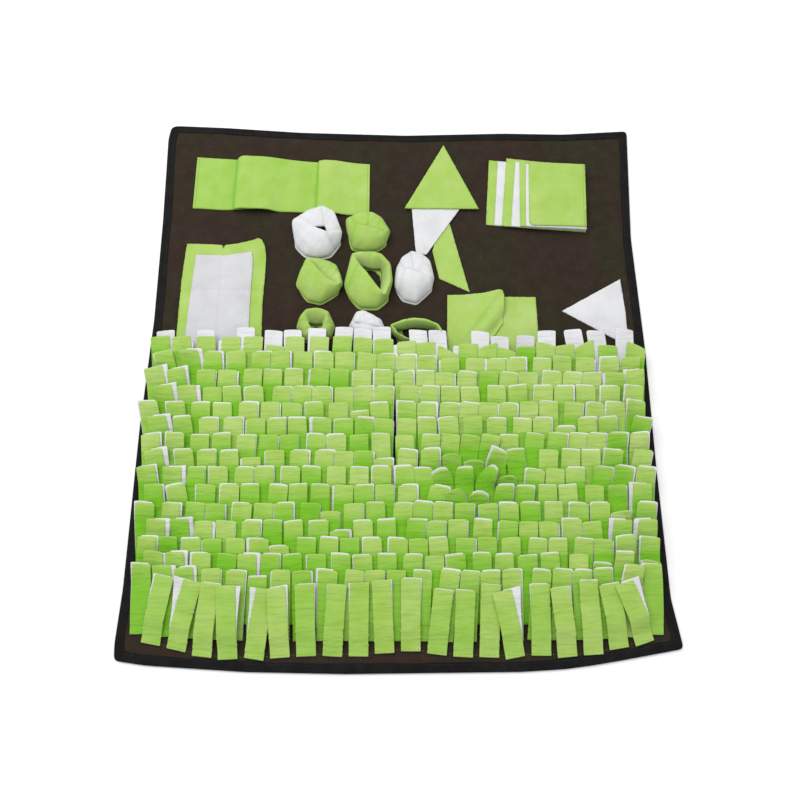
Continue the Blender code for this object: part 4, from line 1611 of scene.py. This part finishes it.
# Edges of overlapping pleats: place among the stations, and height of the step.
CUP_PLEATS = {
    "cup_1_white": [(0.55, 1.0), (2.05, 1.7), (3.9, 1.6), (5.6, 2.0)],
    "cup_2_green": [(0.4, 1.2), (1.7, 1.4), (3.1, 1.2), (5.1, 1.2), (8.4, 1.2)],
    "cup_3_green": [(2.6, 1.3), (3.5, -1.4), (5.6, 1.0)],
    "cup_4_green": [(2.0, -1.0), (4.1, 1.2), (9.3, 0.8)],
    "cup_5_white": [(0.6, 1.2), (1.9, 1.5), (3.4, 1.2), (5.5, 1.5), (8.6, 1.2)],
    "cup_6_green": [(3.0, 1.0), (7.6, 0.8)],
    "cup_7_white": [(0.5, 1.2), (2.2, 1.4), (3.6, 1.2)],
    "cup_8_green": [(1.5, 0.8), (3.6, 1.0)],
}
CUP_FLOORED = ("cup_2_green", "cup_3_green", "cup_5_white", "cup_6_green", "cup_7_white")
MILLIMETRE = 0.001
CUP_SUBSTEPS = 9
CUP_SOFTENING = 2
CUP_SIDE_STEPS = 6
CUP_TOP_STEPS = 12
CUP_INNER_STEPS = 7
CUP_LIP = 0.0026            # depth of the turned edge at the mouth of a closed cup
CUP_LEAST_SIDE = 0.0072     # the side is nowhere lower than this
CUP_SIDE_LIFT = 0.0010
CUP_FOOT = 0.82             # the foot's size beside the side's
CUP_FOOT_FRONT = 0.12       # at the front, where the wall stands upright, it is wider by this
CUP_FRONT_DRAW = 0.085      # there the wall is drawn in, so that the rim shows below it
CUP_FRONT_Z = 0.0095        # a side lower than this belongs to the front
CUP_FRONT_SOFT = 0.0030
CUP_TOP_SWELL = 1.12        # powers that give the wall's top and its inside their rounding
CUP_TOP_RISE = 2.0
CUP_INNER_DRAW = 0.9
CUP_INNER_FALL = 1.25
CUP_PLEAT_FADE = 0.7        # stations over which a pleat's step dies away
CUP_PLEAT_SIDE = 0.4        # share of a pleat's step on the side, and of its loss at the mouth
CUP_PLEAT_LOSS = 0.6
CUP_PLEAT_INNER = 0.16
CUP_CREASE_WIDTH = 0.16     # stations over which it shades the felt below it
# Painted shade along the pleats' creases, and painted light on the inside of a cup:
CUP_TONE = 0.50
CUP_CREASE_PAINTED_SHADE = 0.45
CUP_INNER_PAINTED_LIGHT = 0.85
CUP_INNER_SHADE = 0.30
CRUMPLE_SEED = 40
CRUMPLE = 0.0006
CRUMPLE_LENGTH = 0.013
CRUMPLE_WAVES = 9
CRUMPLE_Z = (0.008, 0.016)  # the felt crumples more the higher it stands
RIM_BACK = 0.86             # the rim's size beside the side's, at the back of a cup
RIM_FLOOR = 0.20            # the rim's inner size beside its outer one, where it makes a floor
RIM_OPEN = 0.62             # and where it is only a rim


def soft_ring(stations):
    """Stations of a ring filled in evenly, with their corners a little rounded."""
    stations = np.array(stations, dtype=float)
    filled = []
    for index in range(len(stations)):
        first = stations[index]
        last = stations[(index + 1) % len(stations)]
        filled += [first + (last - first) * step / CUP_SUBSTEPS for step in range(CUP_SUBSTEPS)]
    filled = np.array(filled)
    for _ in range(CUP_SOFTENING):
        filled = (np.roll(filled, 1, axis=0) + 2 * filled + np.roll(filled, -1, axis=0)) / 4
    return filled


def cup_rings(node):
    """The four rings a cup's felt follows, from foot to inside, and the outer edge of its rim."""
    collar = CUP_COLLARS.get(node, {})
    stations = []
    for index, fold in enumerate(CUP_FOLDS[node]):
        lip = fold[3:5] + (fold[5] - CUP_LIP / MILLIMETRE,)
        stations.append(fold + collar.get(index, lip))
    ring = soft_ring(stations) * MILLIMETRE
    side, mouth, inner = ring[:, 0:3], ring[:, 3:6], ring[:, 6:9]
    mouth[:, 2] += FELT_FLOOR - CUP_FELT / 2
    inner[:, 2] += FELT_FLOOR - CUP_FELT / 2
    front = 1 - ease(side[:, 2], CUP_FRONT_Z - CUP_FRONT_SOFT, CUP_FRONT_Z + CUP_FRONT_SOFT)
    wall = side.copy()
    wall[:, :2] *= (1 - CUP_FRONT_DRAW * front)[:, None]
    wall[:, 2] = np.maximum(wall[:, 2], CUP_LEAST_SIDE) + CUP_SIDE_LIFT
    foot = wall.copy()
    foot[:, :2] *= (CUP_FOOT + CUP_FOOT_FRONT * front)[:, None]
    foot[:, 2] = FELT_FLOOR + CUP_FELT + CLEAR + CUP_FELT / 2
    return (foot, wall, mouth, inner), side[:, :2] * (RIM_BACK + (1 - RIM_BACK) * front)[:, None]


def cup_pleats(node, points):
    """Steps of the overlapping pleats round a ring of points, and where painted shade lies along
    their creases.
    """
    turns = points / CUP_SUBSTEPS
    pleats = np.zeros(points)
    creases = np.zeros(points)
    for place, height in CUP_PLEATS[node]:
        past = (np.arange(points) / CUP_SUBSTEPS - place) % turns
        pleats += height * MILLIMETRE * np.exp(-past / CUP_PLEAT_FADE)
        creases = np.maximum(creases, np.exp(-(turns - past) / CUP_CREASE_WIDTH))
    return pleats, creases


def between(first, last, share, height_share):
    """A ring part of the way from one to another, with its own share for the height."""
    level = first + (last - first) * share
    level[:, 2] = first[:, 2] + (last[:, 2] - first[:, 2]) * height_share
    return level


def cup_wall(rings, pleats, creases):
    """Grid of a cup's felt from foot to inside, and its tones: painted shade along the creases,
    painted light on the inside.
    """
    foot, wall, mouth, inner = rings
    grid = []
    tones = []
    for share in np.linspace(0.0, 1.0, CUP_SIDE_STEPS, endpoint=False):
        level = between(foot, wall, math.sin(share * math.pi / 2), share)
        level[:, 2] += pleats * CUP_PLEAT_SIDE * share ** 2
        grid.append(level)
        tones.append(CUP_TONE - CUP_CREASE_PAINTED_SHADE * creases * share)
    for share in np.linspace(0.0, 1.0, CUP_TOP_STEPS + 1):
        level = between(wall, mouth, share ** CUP_TOP_SWELL, 1 - (1 - share) ** CUP_TOP_RISE)
        stepped = CUP_PLEAT_SIDE + (1 - CUP_PLEAT_SIDE) * math.sin(share * math.pi)
        level[:, 2] += pleats * stepped * (1 - CUP_PLEAT_LOSS * share)
        grid.append(level)
        tones.append(CUP_TONE - CUP_CREASE_PAINTED_SHADE * creases)
    for share in np.linspace(0.0, 1.0, CUP_INNER_STEPS + 1)[1:]:
        level = between(mouth, inner, share ** CUP_INNER_DRAW, share ** CUP_INNER_FALL)
        level[:, 2] += pleats * CUP_PLEAT_INNER
        grid.append(level)
        tones.append(CUP_INNER_PAINTED_LIGHT - CUP_INNER_SHADE * creases)
    return np.array(grid), np.array(tones)


for cup_number, (node, place) in enumerate(CUP_PLACES.items()):
    cup_felt, cup_slot = felt_of(node)
    rings, rim_outer = cup_rings(node)
    pleats, creases = cup_pleats(node, len(rim_outer))
    grid, tones = cup_wall(rings, pleats, creases)
    crumple = Ripple(CRUMPLE_SEED + cup_number, CRUMPLE_LENGTH, count=CRUMPLE_WAVES)
    soft = ease(grid[:, :, 2], *CRUMPLE_Z)
    grid[:, :, 2] += CRUMPLE * soft * crumple(grid[:, :, 0], grid[:, :, 1])
    grid[:, :, :2] += place
    cup = felt_from_grid(node + "_wall", grid, CUP_FELT, cup_felt, closed=True, tones=tones)
    stand_for(cup, node)

    rim_inner = RIM_FLOOR if node in CUP_FLOORED else RIM_OPEN
    rim_height = np.full(len(rim_outer), FELT_FLOOR + CUP_FELT / 2)
    rim_grid = np.array([
        np.column_stack((rim_outer * (rim_inner + (1 - rim_inner) * share) + place, rim_height))
        for share in (0.0, 0.5, 1.0)])
    rim = felt_from_grid(node + "_rim", rim_grid, CUP_FELT, cup_felt, closed=True)
    stand_for(rim, node)


# ---------------------------------------------------------------- felt triangles
# Three felt triangles, each sewn along one side only, overlap down the middle of the mat like
# flags, and a fourth white one lies by the right edge. Treats hide under their loose points.

TRIANGLES = {
    # node                     x       y       layers under that corner
    "triangle_lower_green": [(0.0680, 0.2620, 0.0), (0.0490, 0.1870, 0.0), (0.0580, 0.1420, 0.0),
                             (0.1010, 0.1200, 0.0)],
    "triangle_middle_white": [(0.0190, 0.2650, 1.0), (0.0250, 0.1830, 1.0), (0.0400, 0.1800, 1.0),
                              (0.0950, 0.2650, 1.0)],
    "triangle_upper_green": [(0.0680, 0.3715, 0.0), (0.0090, 0.2570, 2.2), (0.1180, 0.2560, 2.2)],
    "triangle_right_white": [(0.2300, 0.0900, 0.0), (0.3190, 0.0350, 0.0), (0.3190, 0.0900, 0.0),
                             (0.3160, 0.1410, 0.0)],
}
TRIANGLE_SEED = 30
TRIANGLE_CELL = 0.0030
TRIANGLE_SLACK = 0.00012
triangle_ripple = Ripple(seed=21, wavelength=0.050)


def corner_plane(corners):
    """Height of a flat piece from the layers under its corners, as a plane."""
    points = np.array(corners)
    terms = np.column_stack((points[:, 0], points[:, 1], np.ones(len(points))))
    slope_x, slope_y, start = np.linalg.lstsq(terms, points[:, 2] * LAYER_STEP, rcond=None)[0]
    return lambda x, y: (FELT_FLOOR + np.maximum(slope_x * x + slope_y * y + start, 0.0)
                         + TRIANGLE_SLACK * (1 + triangle_ripple(x, y)))


for number, (node, corners) in enumerate(TRIANGLES.items()):
    piece_felt, piece_slot = felt_of(node)
    outline = [(x, y) for x, y, _ in corners]
    piece = felt_piece(node + "_felt", outline, corner_plane(corners), piece_felt,
                       seed=TRIANGLE_SEED + number, cell=TRIANGLE_CELL)
    stand_for(piece, node)


# ---------------------------------------------------------------- book of pages
# Seven felt pages, green and white by turns, sewn together along their right edge. Each is
# cut a little narrower than the one under it, so their left edges fan out.

PAGE_SEWN_TOP = (0.2775, 0.3290)
PAGE_SEWN_BOTTOM = (0.2725, 0.2190)
PAGES = [
    # node            top_x   top_y   bottom_x  bottom_y  shorter
    ("page_1_green",  0.1360, 0.3440, 0.1280,   0.2310,   0.0),
    ("page_2_white",  0.1490, 0.3410, 0.1400,   0.2290,   0.0006),
    ("page_3_green",  0.1620, 0.3450, 0.1510,   0.2270,   0.0002),
    ("page_4_white",  0.1750, 0.3370, 0.1640,   0.2250,   0.0),
    ("page_5_green",  0.1810, 0.3390, 0.1770,   0.2240,   0.0004),
    ("page_6_white",  0.1900, 0.3310, 0.1850,   0.2230,  -0.0006),
    ("page_7_green",  0.1940, 0.3340, 0.1900,   0.2240,   0.0024),
]
PAGE_CORNER = 0.0015        # the pages' lower left corners are cut off a little
TOP_PAGE_CORNER = 0.0060
CORNER_ROUNDING = 0.3       # 0.5 would cut it straight and 0 not at all
PAGE_FLARE = 0.0002
PAGE_SEED = 50
PAGE_CELL = 0.0040
PAGE_SLACK = 0.0002
PAGE_SEAM_INSET = 0.0035
PAGE_SEAM_TOP = 0.0020      # the seam stops short of the book's back and front edges
PAGE_SEAM_BOTTOM = 0.0060
PAGE_SEAM_POINTS = 40
page_ripple = Ripple(seed=33, wavelength=0.070)


def page_height(layer):
    """Underside of a page: pages share their waves, so they nest."""
    return lambda x, y: (FELT_FLOOR + layer * LAYER_STEP
                         + PAGE_SLACK * (1 + page_ripple(x, y)))


for layer, (node, top_x, top_y, bottom_x, bottom_y, shorter) in enumerate(PAGES):
    piece_felt, piece_slot = felt_of(node)
    corner = TOP_PAGE_CORNER if layer == len(PAGES) - 1 else PAGE_CORNER
    outline = [
        (top_x, top_y),
        (bottom_x - PAGE_FLARE, bottom_y + corner),
        (bottom_x + CORNER_ROUNDING * corner, bottom_y + CORNER_ROUNDING * corner),
        (bottom_x + corner, bottom_y),
        (PAGE_SEWN_BOTTOM[0], PAGE_SEWN_BOTTOM[1] + shorter),
        PAGE_SEWN_TOP,
    ]
    piece = felt_piece(node + "_felt", outline, page_height(layer), piece_felt,
                       seed=PAGE_SEED + layer, cell=PAGE_CELL)
    stand_for(piece, node)
sewn = np.linspace(0.0, 1.0, PAGE_SEAM_POINTS)
sewn_x = PAGE_SEWN_TOP[0] - PAGE_SEAM_INSET + (PAGE_SEWN_BOTTOM[0] - PAGE_SEWN_TOP[0]) * sewn
sewn_y = (PAGE_SEWN_TOP[1] - PAGE_SEAM_TOP
          + (PAGE_SEWN_BOTTOM[1] + PAGE_SEAM_BOTTOM - PAGE_SEWN_TOP[1]) * sewn)
sewn_z = page_height(len(PAGES) - 1)(sewn_x, sewn_y) + SHEET_FELT + THREAD_BED
sewing("pages_sewing", [sewn_line(np.column_stack((sewn_x, sewn_y, sewn_z)), ROW_STITCH_PITCH)],
       row_thread)


# ---------------------------------------------------------------- crossed pocket
# Two green felt pieces sewn at their outer sides and foot. The left one crosses over the
# right one, and its loose edge turns up in a soft slanting fold.

CROSS_RIGHT = [(0.1940, 0.1120), (0.1490, 0.1125), (0.1480, 0.1140), (0.1150, 0.1110),
               (0.0900, 0.0260), (0.1955, 0.0260)]
CROSS_LEFT = [(0.0690, 0.1140), (0.0672, 0.0260), (0.1180, 0.0260), (0.1460, 0.0700),
              (0.1490, 0.1130), (0.1480, 0.1215), (0.1410, 0.1225), (0.1180, 0.1175),
              (0.0930, 0.1148)]
FOLD_TOP = (0.1420, 0.1100)
FOLD_BOTTOM = (0.0960, 0.0450)
FOLD_RISE = 0.0068
FOLD_HALF = 0.0210
FOLD_ROUNDING = 0.8
FOLD_FADE = (0.030, 0.075)  # from front to back the fold rises out of the sewn foot
VALLEY_SWELL = 0.0026       # the felt swells again left of the fold
VALLEY_WIDTH = 0.0120
VALLEY_EASE = 0.0060
CROSS_SLACK = 0.00015
CROSS_LEFT_SLACK = 0.0002
cross_ripple = Ripple(seed=61, wavelength=0.055)


def cross_right_height(x, y):
    """Underside of the right piece, which lies nearly flat on the base."""
    return FELT_FLOOR + CROSS_SLACK * (1 + cross_ripple(x, y))


def cross_left_height(x, y):
    """Underside of the left piece: flat, then a valley and a hump right of the slanting fold."""
    run_x = FOLD_TOP[0] - FOLD_BOTTOM[0]
    run_y = FOLD_TOP[1] - FOLD_BOTTOM[1]
    run = math.hypot(run_x, run_y)
    beside = ((x - FOLD_BOTTOM[0]) * run_y - (y - FOLD_BOTTOM[1]) * run_x) / run
    hump = FOLD_RISE * np.sin(math.pi * np.clip(beside / FOLD_HALF, 0.0, 1.0)) ** FOLD_ROUNDING
    swell = (VALLEY_SWELL * np.exp(-(np.minimum(beside, 0.0) / VALLEY_WIDTH) ** 2)
             * ease(-beside, 0.0, VALLEY_EASE))
    flat = FELT_FLOOR + LAYER_STEP + CLEAR + CROSS_LEFT_SLACK * (1 + cross_ripple(x, y))
    return flat + (hump + swell) * ease(y, *FOLD_FADE)


# Both pieces are painted towards their lit colour.
cross_right = felt_piece("cross_pocket_right_felt", CROSS_RIGHT, cross_right_height,
                         plain_green_felt, seed=71, cell=0.003, painted_shading=0.75)
stand_for(cross_right, "cross_pocket_right_green")
cross_left = felt_piece("cross_pocket_left_felt", CROSS_LEFT, cross_left_height,
                        plain_green_felt, seed=72, cell=0.002, painted_shading=0.70)
stand_for(cross_left, "cross_pocket_left_green")
